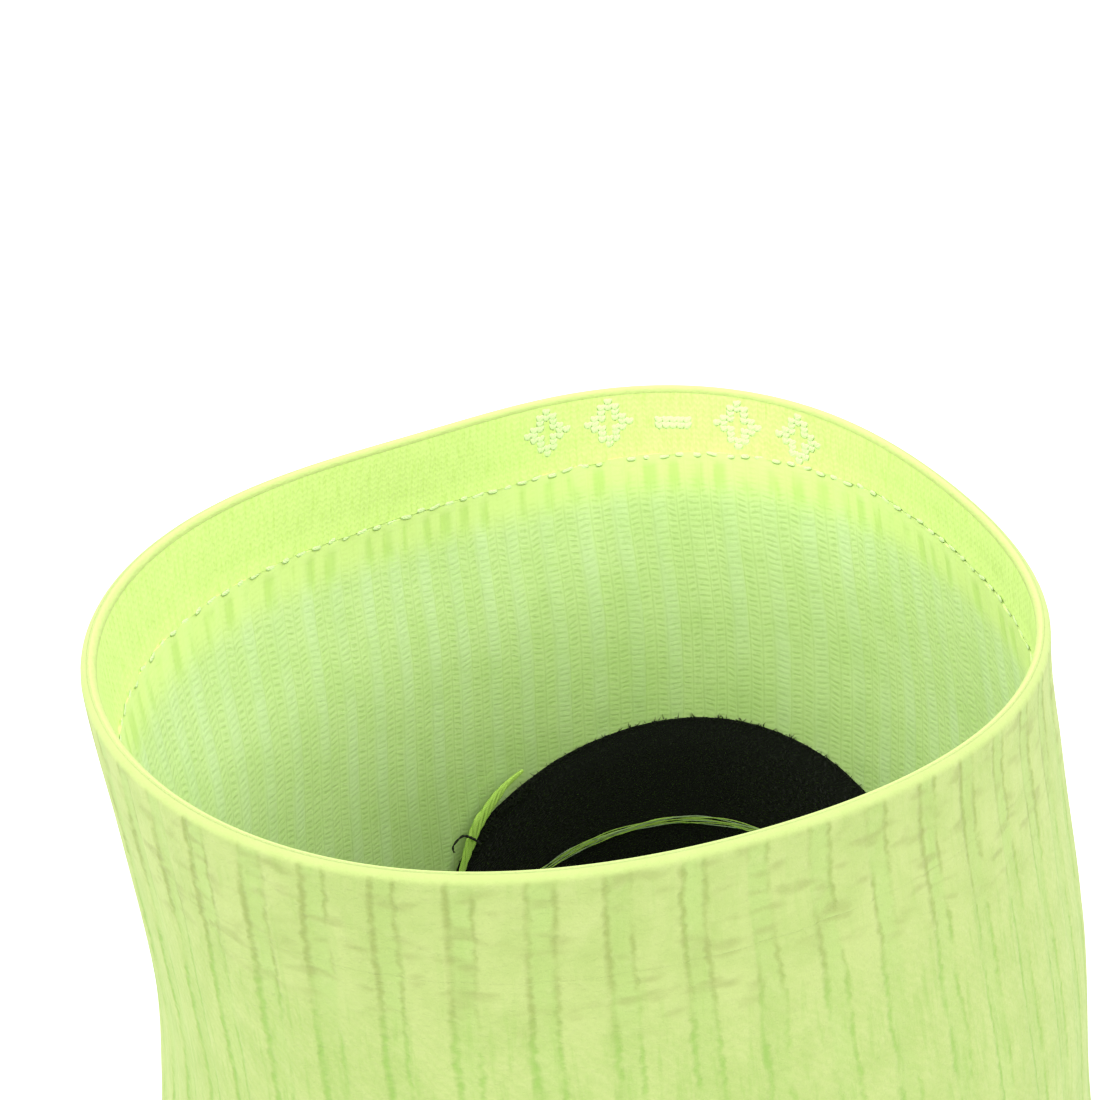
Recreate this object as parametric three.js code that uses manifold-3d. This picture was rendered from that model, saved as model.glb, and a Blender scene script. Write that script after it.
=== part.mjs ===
// A quarter-length knitted sports sock, standing open as if a foot were in it.
// Millimetres, +Z up. The toe points along -Y, and the origin is under the middle of the sock, on the floor.
import * as THREE from "three";
import { mergeVertices } from "three/addons/utils/BufferGeometryUtils.js";
import Module from "manifold-3d";

const wasm = await Module();
wasm.setup();

// ---- driving dimensions -------------------------------------------------------------------------

const footLength = 254;
const rimHeight = 108;
const rimHalfWidth = 35;
const rimHalfDepth = 43;
const ankleHalfWidth = 38.8;
const ballHalfWidth = 47.5;
const heelReach = 48; // from the leg's centre line back to the heel
const ankleHeight = 70; // where the leg turns into the foot, at its front
const instepHeight = 56;
const toeHeight = 22;
const cuffLean = 7.5; // how far the slack cuff has slumped sideways

const ribWall = 1.2;
const padWall = 2.2;
const cuffDepth = 7.5;
const cuffLayer = 0.5;
const elasticWidth = 0.4;
const elasticClearance = 0.18;
const seamGap = 0.3;
const yarnRadius = 0.35;
const markThickness = 0.25;
const markHeight = 4.2;
const markPitch = 9.4; // degrees round the cuff

const patchTop = 70; // top of the black heel patch, at the back
const patchHalfDepth = 14.5; // how far forward the patch reaches round the ankle
const patchTilt = Math.tan(THREE.MathUtils.degToRad(5.5));
const accentHeight = 56.5;
const accentWidth = 1.8;
const accentSlope = 0.6;

const segments = 48;
const ringStep = 0.5;
const bottomDip = 3; // how far the round of a section is pressed flat by the floor

// ---- the outer surface: a loft through oval stations --------------------------------------------

const heelBack = footLength / 2;
const legCentre = heelBack - heelReach;
const alongFoot = (fraction) => heelBack - fraction * footLength;
const upLeg = (fraction) => ankleHeight + fraction * (rimHeight - ankleHeight);

// Each station joins a point on the front or top line to one on the back or sole line.
const station = (front, back, halfWidth, lean, slack) => ({
  frontY: front[0],
  frontZ: front[1],
  backY: back[0],
  backZ: back[1],
  halfWidth,
  centreX: -lean * cuffLean,
  slack,
});

const stations = [
  station([legCentre - rimHalfDepth, rimHeight], [legCentre + rimHalfDepth, rimHeight], rimHalfWidth, 1, 1),
  station(
    [legCentre - rimHalfDepth - 0.4, upLeg(0.68)],
    [legCentre + rimHalfDepth - 0.8, upLeg(0.68)],
    rimHalfWidth + 1.3,
    0.8,
    0.62,
  ),
  station(
    [legCentre - rimHalfDepth - 3, upLeg(0.37)],
    [legCentre + rimHalfDepth - 1.1, upLeg(0.3)],
    ankleHalfWidth - 1.6,
    0.48,
    0.37,
  ),
  station([alongFoot(0.386), ankleHeight + 6], [legCentre + rimHalfDepth - 0.6, 66], ankleHalfWidth - 0.8, 0.34, 0.2),
  station([alongFoot(0.41), ankleHeight], [heelBack - 3, 51], ankleHalfWidth, 0.2, 0.08),
  station([alongFoot(0.435), instepHeight + 9], [heelBack - 0.3, 36], ankleHalfWidth, 0.12, 0),
  station([alongFoot(0.462), instepHeight + 5.5], [heelBack, 20], ankleHalfWidth - 1, 0, 0),
  station([alongFoot(0.49), instepHeight + 2.5], [alongFoot(0.02), 6], ankleHalfWidth - 2, 0, 0),
  station([alongFoot(0.522), instepHeight - 0.5], [alongFoot(0.067), -1], ankleHalfWidth - 2, 0, 0),
  station([alongFoot(0.56), instepHeight - 4.5], [alongFoot(0.142), -bottomDip], ankleHalfWidth - 1.5, 0, 0),
  station([alongFoot(0.608), instepHeight - 9], [alongFoot(0.23), -bottomDip], ankleHalfWidth, 0, 0),
  station([alongFoot(0.665), instepHeight - 14], [alongFoot(0.346), -bottomDip], ballHalfWidth - 6.5, 0, 0),
  station([alongFoot(0.725), instepHeight - 20], [alongFoot(0.504), -bottomDip], ballHalfWidth - 2, 0, 0),
  station([alongFoot(0.788), toeHeight + 9], [alongFoot(0.661), -bottomDip], ballHalfWidth, 0, 0),
  station([alongFoot(0.85), toeHeight + 4.5], [alongFoot(0.787), -bottomDip], ballHalfWidth - 1, 0, 0),
  station([alongFoot(0.913), toeHeight], [alongFoot(0.882), -bottomDip], ballHalfWidth * 0.87, 0, 0),
  station([alongFoot(0.96), toeHeight - 4.5], [alongFoot(0.945), -2.5], ballHalfWidth * 0.69, 0, 0),
  station([alongFoot(0.988), toeHeight - 9.5], [alongFoot(0.984), 0.5], ballHalfWidth * 0.46, 0, 0),
  station([alongFoot(1), toeHeight - 14], [alongFoot(1), 5], ballHalfWidth * 0.22, 0, 0),
];
const lastStation = stations.length - 1;
const archStart = 8.3;
const forefootStart = 10.6;
const toeStart = 14.4;

const catmullRom = (a, b, c, d, t) =>
  b + 0.5 * t * (c - a + t * (2 * a - 5 * b + 4 * c - d + t * (3 * (b - c) + d - a)));

// The section at a place between stations, such as 2.5.
function sectionAt(place) {
  const first = Math.min(Math.floor(place), lastStation - 1);
  const at = (index) => stations[THREE.MathUtils.clamp(index, 0, lastStation)];
  const near = [at(first - 1), at(first), at(first + 1), at(first + 2)];
  const section = {};
  for (const field of Object.keys(stations[0])) {
    section[field] = catmullRom(...near.map((each) => each[field]), place - first);
  }
  return section;
}

// The slack cuff isn't a true oval: it is a little egg-shaped, squared and turned.
const slackShape = (angle) =>
  0.042 * Math.cos(3 * (angle - 0.055)) + 0.024 * Math.cos(4 * (angle - 0.08)) + 0.063 * Math.sin(2 * angle);

// A point before the floor flattens it. Angle 0 is the back of the leg and the middle of the sole.
function roundPoint(place, angle) {
  const section = sectionAt(place);
  const reach = (1 + section.slack * slackShape(angle)) * Math.cos(angle);
  const side = (1 + section.slack * slackShape(angle)) * Math.sin(angle);
  return new THREE.Vector3(
    section.centreX + section.halfWidth * side,
    (section.frontY + section.backY) / 2 + ((section.backY - section.frontY) / 2) * reach,
    (section.frontZ + section.backZ) / 2 + ((section.backZ - section.frontZ) / 2) * reach,
  );
}

function outwardNormal(place, angle) {
  const step = 0.02;
  const low = Math.max(place - step, 0);
  const high = Math.min(place + step, lastStation);
  const along = roundPoint(high, angle).sub(roundPoint(low, angle));
  const round = roundPoint(place, angle + step).sub(roundPoint(place, angle - step));
  return round.cross(along).normalize();
}

// A point at a depth below the outer surface, which the floor presses flat.
function wallPoint(place, angle, depth) {
  const point = roundPoint(place, angle).addScaledVector(outwardNormal(place, angle), -depth);
  point.z = Math.max(point.z, depth);
  return point;
}

// The place along the loft where the wall at this angle is at a given height, on the leg and heel.
function placeAtHeight(angle, height) {
  let high = 0;
  let low = 7;
  for (let turn = 0; turn < 30; turn += 1) {
    const middle = (high + low) / 2;
    if (roundPoint(middle, angle).z > height) high = middle;
    else low = middle;
  }
  return (high + low) / 2;
}

// ---- from points to solids ----------------------------------------------------------------------

function solidFromRows(rows, closedRound, closedAlong) {
  const positions = rows.flat().flatMap((point) => point.toArray());
  const count = rows[0].length;
  const index = [];
  const lastRow = closedAlong ? rows.length : rows.length - 1;
  const lastColumn = closedRound ? count : count - 1;
  for (let row = 0; row < lastRow; row += 1) {
    for (let column = 0; column < lastColumn; column += 1) {
      const a = row * count + column;
      const b = row * count + ((column + 1) % count);
      const c = ((row + 1) % rows.length) * count + ((column + 1) % count);
      const d = ((row + 1) % rows.length) * count + column;
      index.push(a, b, c, a, c, d);
    }
  }
  const capEnd = (row, flip) => {
    for (let column = 1; column < count - 1; column += 1) {
      const base = row * count;
      index.push(base, base + (flip ? column + 1 : column), base + (flip ? column : column + 1));
    }
  };
  if (!closedAlong) {
    capEnd(0, true);
    capEnd(rows.length - 1, false);
  }
  const geometry = new THREE.BufferGeometry();
  geometry.setAttribute("position", new THREE.Float32BufferAttribute(positions, 3));
  geometry.setIndex(index);
  return toManifold(geometry);
}

function toManifold(geometry) {
  const bare = geometry.clone();
  bare.deleteAttribute("normal");
  bare.deleteAttribute("uv");
  const merged = mergeVertices(bare, 1e-4);
  const vertProperties = merged.attributes.position.array;
  const triVerts = new Uint32Array(merged.index.array);
  const solid = new wasm.Manifold(new wasm.Mesh({ numProp: 3, vertProperties, triVerts }));
  if (solid.volume() > 0) return solid;
  for (let corner = 0; corner < triVerts.length; corner += 3) {
    [triVerts[corner + 1], triVerts[corner + 2]] = [triVerts[corner + 2], triVerts[corner + 1]];
  }
  return new wasm.Manifold(new wasm.Mesh({ numProp: 3, vertProperties, triVerts }));
}

function toGeometry(solid) {
  const mesh = solid.getMesh();
  const geometry = new THREE.BufferGeometry();
  geometry.setAttribute("position", new THREE.BufferAttribute(mesh.vertProperties, 3));
  geometry.setIndex(new THREE.BufferAttribute(mesh.triVerts, 1));
  const flat = geometry.toNonIndexed();
  flat.computeVertexNormals();
  return flat;
}

const angles = Array.from({ length: segments }, (_, step) => (2 * Math.PI * step) / segments);

function placesBetween(first, last) {
  const places = [first];
  for (let place = Math.ceil(first / ringStep + 0.2) * ringStep; place < last - 0.1; place += ringStep) {
    places.push(place);
  }
  return [...places, last];
}

// A ring of wall between two places and two depths.
function wallRing(first, last, inner) {
  const places = placesBetween(first, last);
  const profile = [
    ...places.map((place) => [place, 0]),
    ...places.toReversed().map((place) => [place, inner]),
  ];
  return solidFromRows(
    angles.map((angle) => profile.map(([place, depth]) => wallPoint(place, angle, depth))),
    true,
    true,
  );
}

// The place along the loft that lies a distance below the rim.
const placeBelowRim = (drop) => drop / (rimHeight - stations[1].frontZ);

// A point of the cuff, whose courses are level.
function cuffPoint(depth, drop, angle) {
  const point = wallPoint(placeBelowRim(drop), angle, depth);
  point.z = rimHeight - drop;
  return point;
}

// A ring whose section is drawn as points of (depth below the surface, distance below the rim).
function cuffRing(profile) {
  return solidFromRows(
    angles.map((angle) => profile.map(([depth, drop]) => cuffPoint(depth, drop, angle))),
    true,
    true,
  );
}

// The closed toe: the outer wall, then back along the inner wall, with both tips closed.
function toeCup(first, inner) {
  const outerPlaces = placesBetween(first, lastStation);
  const innerPlaces = placesBetween(first, lastStation - 0.9).toReversed();
  const rows = [
    ...outerPlaces.toReversed().map((place) => angles.map((angle) => wallPoint(place, angle, 0))),
    ...innerPlaces.toReversed().map((place) => angles.map((angle) => wallPoint(place, angle, inner))),
  ];
  return solidFromRows(rows, true, false);
}

// A yarn that follows the inside of the wall through (angle, height) stops, or lifts off it at a stop.
function insideYarn(stops, radius, steps) {
  const points = stops.map(([degrees, height, lift = 0]) => {
    const angle = THREE.MathUtils.degToRad(degrees);
    return wallPoint(placeAtHeight(angle, height), angle, padWall + seamGap + radius + lift);
  });
  const section = new THREE.Shape();
  section.absarc(0, 0, radius, 0, 2 * Math.PI);
  const geometry = new THREE.ExtrudeGeometry(section, {
    extrudePath: new THREE.CatmullRomCurve3(points),
    steps,
    curveSegments: 4,
  });
  return toManifold(geometry);
}

// ---- side-view cutters --------------------------------------------------------------------------

// The heel patch sits a little askew, higher on one side. Each share says how much of that a height takes.
const upright = () => 0;
const fadesIntoHeelCup = (height) => THREE.MathUtils.smoothstep(height, patchTop - 28, patchTop - 14);
const aboveHeelCup = (height) => (height > patchTop - 40 ? 1 : 0);

// A block whose outline is drawn in side view, as (y, z), and which runs right across the sock.
function sideCutter(outline, tiltShare) {
  const shape = new THREE.Shape(outline.map(([y, z]) => new THREE.Vector2(y, z)));
  const reach = 1.2 * ballHalfWidth;
  const geometry = new THREE.ExtrudeGeometry(shape, { depth: 2 * reach, steps: 6, bevelEnabled: false });
  geometry.translate(0, 0, -reach);
  geometry.applyMatrix4(
    new THREE.Matrix4().makeBasis(
      new THREE.Vector3(0, 1, 0),
      new THREE.Vector3(0, 0, 1),
      new THREE.Vector3(1, 0, 0),
    ),
  );
  const position = geometry.attributes.position;
  for (let index = 0; index < position.count; index += 1) {
    const height = position.getZ(index);
    position.setZ(index, height + tiltShare(height) * patchTilt * position.getX(index));
  }
  return toManifold(geometry);
}

const backAtPatchTop = legCentre + rimHalfDepth - 0.6;
const patchSide = backAtPatchTop - patchHalfDepth;
const patchLine = new THREE.CatmullRomCurve3(
  [
    [backAtPatchTop + 20, patchTop + 20 * accentSlope],
    [backAtPatchTop, patchTop],
    [backAtPatchTop - 6, patchTop - 4],
    [patchSide + 3, patchTop - 10],
    [patchSide, patchTop - 20],
    [patchSide - 2.5, patchTop - 31],
    [patchSide - 12, 28],
    [patchSide - 34, 20],
    [alongFoot(0.36), 15],
    [alongFoot(0.58), 12.5],
    [alongFoot(0.8), 11.5],
    [alongFoot(1.1), 11.5],
  ].map(([y, z]) => new THREE.Vector3(0, y, z)),
);

// The line between neon and black, moved out of the black by an allowance.
function patchOutline(allowance) {
  const steps = 60;
  const line = [];
  for (let step = 0; step <= steps; step += 1) {
    const point = patchLine.getPoint(step / steps);
    const run = patchLine.getTangent(step / steps);
    line.push([point.y + run.z * allowance, point.z - run.y * allowance]);
  }
  return [...line, [line.at(-1)[0], -2 * bottomDip], [line[0][0], -2 * bottomDip]];
}

const farBack = heelBack + 20;
const farBelow = -2 * bottomDip;
const accentLineAt = (y, shift) => accentHeight + (y - heelBack) * accentSlope + shift;
const goreFront = [patchSide - 12, 24];
const goreBack = [farBack, 9];
const soleSplitTop = [alongFoot(0.31), 40];
const soleSplitFoot = [alongFoot(0.25), farBelow];

const aboveAccent = () => [
  [farBack, accentLineAt(farBack, (accentWidth + seamGap) / 2)],
  [farBack, rimHeight],
  [patchSide - 20, rimHeight],
  [patchSide - 20, accentLineAt(patchSide - 20, (accentWidth + seamGap) / 2)],
];

const accentBand = () => [
  [farBack, accentLineAt(farBack, (seamGap - accentWidth) / 2)],
  [farBack, accentLineAt(farBack, (accentWidth - seamGap) / 2)],
  [patchSide - 20, accentLineAt(patchSide - 20, (accentWidth - seamGap) / 2)],
  [patchSide - 20, accentLineAt(patchSide - 20, (seamGap - accentWidth) / 2)],
];

const behindGore = () => [
  [goreBack[0], goreBack[1] + seamGap / 2],
  [farBack, accentLineAt(farBack, -(accentWidth + seamGap) / 2)],
  [patchSide - 20, accentLineAt(patchSide - 20, -(accentWidth + seamGap) / 2)],
  [goreFront[0], goreFront[1] + seamGap / 2],
];

const underHeel = () => [
  [goreBack[0], goreBack[1] - seamGap / 2],
  [goreFront[0], goreFront[1] - seamGap / 2],
  [goreFront[0] - 40, goreFront[1] + 20],
  [soleSplitTop[0] + seamGap / 2, soleSplitTop[1]],
  [soleSplitFoot[0] + seamGap / 2, farBelow],
  [farBack, farBelow],
];

const underFoot = () => [
  [soleSplitTop[0] - seamGap / 2, soleSplitTop[1]],
  [-footLength, soleSplitTop[1]],
  [-footLength, farBelow],
  [soleSplitFoot[0] - seamGap / 2, farBelow],
];

// ---- the pieces ---------------------------------------------------------------------------------

const cuffInnerDepth = cuffLayer + elasticWidth + 2 * elasticClearance;
const cuffThickness = cuffInnerDepth + cuffLayer;

const foldShoulder = 0.6;
const foldLip = 1.1;
const cuffInnerTop = foldLip + seamGap;
const elasticDrops = [0.2, 0.48, 0.76].map((share) => share * cuffDepth);

// Rows of the cuff at each elastic yarn, so that the layers bend beside it.
const downCuff = (depth) => elasticDrops.map((drop) => [depth, drop + elasticWidth / 2]);
const upCuff = (depth) => downCuff(depth).toReversed();

// The cuff's outer layer carries the fold, which turns over the top and starts down the inside.
function cuffOuterLayer() {
  return cuffRing([
    [0, cuffDepth],
    ...upCuff(0),
    [0, foldShoulder],
    [cuffThickness * 0.28, 0],
    [cuffThickness * 0.72, 0],
    [cuffThickness, foldShoulder],
    [cuffThickness, foldLip],
    [cuffInnerDepth, foldLip],
    [cuffInnerDepth, foldShoulder + 0.1],
    [cuffLayer, foldShoulder + 0.1],
    ...downCuff(cuffLayer),
    [cuffLayer, cuffDepth],
  ]);
}

function cuffInnerLayer() {
  return cuffRing([
    [cuffInnerDepth, cuffInnerTop],
    [cuffThickness, cuffInnerTop],
    ...downCuff(cuffThickness),
    [cuffThickness, cuffDepth - seamGap],
    [cuffInnerDepth, cuffDepth - seamGap],
    ...upCuff(cuffInnerDepth),
  ]);
}

// Three rings of covered elastic yarn lie between the cuff's two layers.
function cuffElastic(drop) {
  const near = cuffLayer + elasticClearance;
  return cuffRing([
    [near, drop],
    [near + elasticWidth, drop],
    [near + elasticWidth, drop + elasticWidth],
    [near, drop + elasticWidth],
  ]);
}

function cuffClosingStitch() {
  const near = ribWall + seamGap;
  const top = cuffDepth + 0.1;
  return cuffRing([
    [near, top],
    [near + 2 * yarnRadius, top],
    [near + 2 * yarnRadius, top + 2 * yarnRadius],
    [near, top + 2 * yarnRadius],
  ]);
}

// A plain knitted mark on the inside of the cuff: a lozenge, or a short bar in the middle of the row.
function sizeMark(order) {
  const isBar = order === 0;
  const centre = order * markPitch;
  const halfTurn = isBar ? 2.2 : 3.1;
  const halfHeight = isBar ? 0.5 : markHeight / 2;
  const middleDrop = cuffInnerTop + 0.4 + markHeight / 2;
  const corners = isBar
    ? [[-halfTurn, -halfHeight], [halfTurn, -halfHeight], [halfTurn, halfHeight], [-halfTurn, halfHeight]]
    : [[0, -halfHeight], [halfTurn, 0], [0, halfHeight], [-halfTurn, 0]];
  const layer = (depth) =>
    corners.map(([turn, drop]) => {
      const angle = THREE.MathUtils.degToRad(centre + turn);
      return cuffPoint(depth, middleDrop + drop, angle);
    });
  const near = cuffThickness + seamGap;
  return solidFromRows([layer(near), layer(near + markThickness)], true, false);
}

// The leg's top course is level, to meet the cuff.
function legRing() {
  const top = placeBelowRim(cuffDepth);
  const above = sideCutter(
    [
      [-footLength, rimHeight - cuffDepth - seamGap],
      [footLength, rimHeight - cuffDepth - seamGap],
      [footLength, 2 * rimHeight],
      [-footLength, 2 * rimHeight],
    ],
    upright,
  );
  return neonRing(top, archStart).subtract(above);
}

const neonCut = sideCutter(patchOutline(seamGap / 2), fadesIntoHeelCup);
const blackZone = sideCutter(patchOutline(-seamGap / 2), fadesIntoHeelCup);
const neonRing = (first, last) => wallRing(first, last, ribWall).subtract(neonCut);
const blackWall = wallRing(1.2, toeStart - 0.02, padWall).intersect(blackZone);
const blackPiece = (outline, tiltShare) => blackWall.intersect(sideCutter(outline, tiltShare));

// Loose neon yarn crosses the inside of the heel patch behind the accent line.
const heelFloat = (order) => {
  const spread = (order - 1) * 1.1;
  const stops = [-33, -20, -8, 6, 20, 34].map((degrees) => {
    const tilt = patchTilt * ankleHalfWidth * Math.sin(THREE.MathUtils.degToRad(degrees));
    const droop = 0.0045 * degrees * degrees;
    return [degrees, accentHeight + tilt - droop - spread];
  });
  return insideYarn(stops, yarnRadius, 20);
};

// The neon yarns that turn back at the patch's edge lie in a thin bundle there.
const edgeBundle = () =>
  insideYarn(
    [[-24, 66.5], [-30, 65], [-35, 62.5], [-39, 58.5], [-41.5, 54], [-43, 48]],
    1.6 * yarnRadius,
    16,
  );

const yarnTail = (stops) => insideYarn(stops, 0.6 * yarnRadius, 14);

// A ridge where the toe's top edge is linked to the instep.
function toeSeam() {
  const outside = -(seamGap + 0.7);
  const rows = [];
  const steps = 20;
  for (let step = 0; step <= steps; step += 1) {
    const angle = THREE.MathUtils.degToRad(100 + (160 * step) / steps);
    rows.push([
      wallPoint(toeStart - 0.09, angle, -seamGap),
      wallPoint(toeStart + 0.07, angle, -seamGap),
      wallPoint(toeStart + 0.04, angle, outside),
      wallPoint(toeStart - 0.06, angle, outside),
    ]);
  }
  return solidFromRows(rows, true, false);
}

const neon = { color: "#d6ea8c", roughness: 0.95, metalness: 0 };
const neonInside = { color: "#d2f488", roughness: 0.95, metalness: 0 };
const paleYarn = { color: "#dcf5c4", roughness: 0.95, metalness: 0 };
const black = { color: "#141612", roughness: 0.98, metalness: 0 };
const elasticWhite = { color: "#eef2e4", roughness: 0.8, metalness: 0 };
const deepNeon = { color: "#b9dd62", roughness: 0.95, metalness: 0 };

const sock = new THREE.Group();

function add(name, solid, finish) {
  const mesh = new THREE.Mesh(toGeometry(solid), new THREE.MeshStandardMaterial(finish));
  mesh.name = name;
  sock.add(mesh);
}

add("cuff_outer_layer", cuffOuterLayer(), neon);
add("cuff_inner_layer", cuffInnerLayer(), neonInside);
elasticDrops.forEach((drop, order) => add(`cuff_elastic_${order + 1}`, cuffElastic(drop), elasticWhite));
add("cuff_closing_stitch", cuffClosingStitch(), paleYarn);
[-2, -1, 0, 1, 2].forEach((order) => add(`knitted_mark_${order + 3}`, sizeMark(order), paleYarn));

add("leg_rib_tube", legRing(), neon);
add("arch_band", neonRing(archStart + 0.03, forefootStart), deepNeon);
add("instep_panel", neonRing(forefootStart + 0.02, toeStart), neon);

add("heel_top_panel", blackPiece(aboveAccent(), aboveHeelCup), black);
add("heel_accent_line", blackPiece(accentBand(), aboveHeelCup), neonInside);
add("heel_back_half", blackPiece(behindGore(), aboveHeelCup), black);
add("heel_sole_half", blackPiece(underHeel(), upright), black);
add("sole_pad", blackPiece(underFoot(), upright), black);
[0, 1, 2].forEach((order) => add(`heel_float_yarn_${order + 1}`, heelFloat(order), paleYarn));
add("edge_yarn_bundle", edgeBundle(), neonInside);
add("yarn_tail_upper", yarnTail([[-41.9, 57], [-43.6, 58.8, 0.5], [-46, 60.3, 0.9], [-48, 59.5, 0.9], [-47.5, 58, 0.5]]), black);
add("yarn_tail_lower", yarnTail([[-44.3, 51], [-46, 52.5, 0.5], [-48, 51.8, 0.8], [-49, 49.8, 0.5]]), black);

add("toe_cap", toeCup(toeStart + 0.02, padWall), black);
add("toe_linking_seam", toeSeam(), black);

export default sock;
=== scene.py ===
import logging
import math
from collections.abc import Sequence
from dataclasses import dataclass, field
from enum import Enum

import bpy
import numpy as np
from mathutils import Matrix, Vector


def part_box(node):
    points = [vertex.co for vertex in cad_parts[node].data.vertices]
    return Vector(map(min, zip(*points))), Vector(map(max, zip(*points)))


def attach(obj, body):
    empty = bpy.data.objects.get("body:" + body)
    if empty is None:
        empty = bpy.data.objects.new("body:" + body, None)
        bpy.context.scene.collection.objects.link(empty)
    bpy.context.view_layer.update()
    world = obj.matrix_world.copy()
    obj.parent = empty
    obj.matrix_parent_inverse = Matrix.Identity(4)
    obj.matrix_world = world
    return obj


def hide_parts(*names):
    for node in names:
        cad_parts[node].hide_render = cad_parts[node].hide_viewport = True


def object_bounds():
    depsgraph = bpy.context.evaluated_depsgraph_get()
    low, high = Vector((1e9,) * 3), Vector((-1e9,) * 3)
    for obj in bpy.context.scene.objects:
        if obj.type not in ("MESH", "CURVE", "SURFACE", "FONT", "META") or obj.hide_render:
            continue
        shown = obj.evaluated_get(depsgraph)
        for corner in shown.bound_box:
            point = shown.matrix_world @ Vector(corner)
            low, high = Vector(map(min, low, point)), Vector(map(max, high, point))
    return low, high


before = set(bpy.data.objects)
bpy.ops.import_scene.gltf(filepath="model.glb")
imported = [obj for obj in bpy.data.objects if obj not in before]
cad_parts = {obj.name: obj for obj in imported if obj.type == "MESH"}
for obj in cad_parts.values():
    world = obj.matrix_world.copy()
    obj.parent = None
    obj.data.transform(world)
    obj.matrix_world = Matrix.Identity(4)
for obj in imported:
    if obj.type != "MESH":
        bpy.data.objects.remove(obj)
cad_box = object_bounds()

logging.basicConfig(level=logging.INFO, format="%(message)s")
log = logging.getLogger("sock")

MM = 0.001  # one millimetre, in metres
TURN = 6.2832  # one full turn, for a sine in a shader
ROUND = 80.0  # degrees that a yarn may bend from face to face and still be shaded smooth
Colour = tuple[float, float, float]


def plain(red: int, green: int, blue: int) -> Colour:
    """Turn a display colour, 0 to 255, into the linear colour that a shader takes.

    Args:
        red: Red share.
        green: Green share.
        blue: Blue share.

    Returns:
        The linear colour.
    """

    def one(value: float) -> float:
        """Return one channel, linear."""
        share = value / 255
        return share / 12.92 if share <= 0.04045 else ((share + 0.055) / 1.055) ** 2.4

    return (one(red), one(green), one(blue))


# ---- shader maths -------------------------------------------------------------------------------


class Wire:
    """A shader value on a node's output. Arithmetic on it adds the nodes that work it out."""

    def __init__(self, board: "Board", socket: bpy.types.NodeSocket) -> None:
        """Keep the board that adds nodes, and the output socket."""
        self.board = board
        self.socket = socket

    def _math(self, operation: str, *values: "Wire | float") -> "Wire":
        """Return a Math node's result on these values."""
        return self.board.add("ShaderNodeMath", {"operation": operation}, dict(enumerate(values)))

    def __add__(self, other: "Wire | float") -> "Wire":
        """Return self + other."""
        return self._math("ADD", self, other)

    def __radd__(self, other: float) -> "Wire":
        """Return other + self."""
        return self._math("ADD", other, self)

    def __sub__(self, other: "Wire | float") -> "Wire":
        """Return self - other."""
        return self._math("SUBTRACT", self, other)

    def __rsub__(self, other: float) -> "Wire":
        """Return other - self."""
        return self._math("SUBTRACT", other, self)

    def __mul__(self, other: "Wire | float") -> "Wire":
        """Return self * other."""
        return self._math("MULTIPLY", self, other)

    def __rmul__(self, other: float) -> "Wire":
        """Return other * self."""
        return self._math("MULTIPLY", other, self)

    def __mod__(self, other: float) -> "Wire":
        """Return self modulo other, never negative."""
        return self._math("FLOORED_MODULO", self, other)

    def __abs__(self) -> "Wire":
        """Return the size of self."""
        return self._math("ABSOLUTE", self)

    def sine(self) -> "Wire":
        """Return the sine of self."""
        return self._math("SINE", self)

    def floor(self) -> "Wire":
        """Return self rounded down."""
        return self._math("FLOOR", self)

    def smallest(self, other: "Wire | float") -> "Wire":
        """Return the smaller of the two."""
        return self._math("MINIMUM", self, other)

    def largest(self, other: "Wire | float") -> "Wire":
        """Return the larger of the two."""
        return self._math("MAXIMUM", self, other)

    def step(self, low: float, high: float, start: float = 0.0, end: float = 1.0) -> "Wire":
        """Return a smooth step of self.

        Args:
            low: Where the step begins.
            high: Where it ends.
            start: The result below low.
            end: The result above high.

        Returns:
            The stepped value.
        """
        return self.board.add(
            "ShaderNodeMapRange",
            {"interpolation_type": "SMOOTHSTEP"},
            {0: self, 1: low, 2: high, 3: start, 4: end},
        )

    def near(self, centre: float, half: float, soft: float) -> "Wire":
        """Return 1 within half of centre, falling to 0 over soft."""
        return abs(self - centre).step(half, half + soft, 1.0, 0.0)


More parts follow.
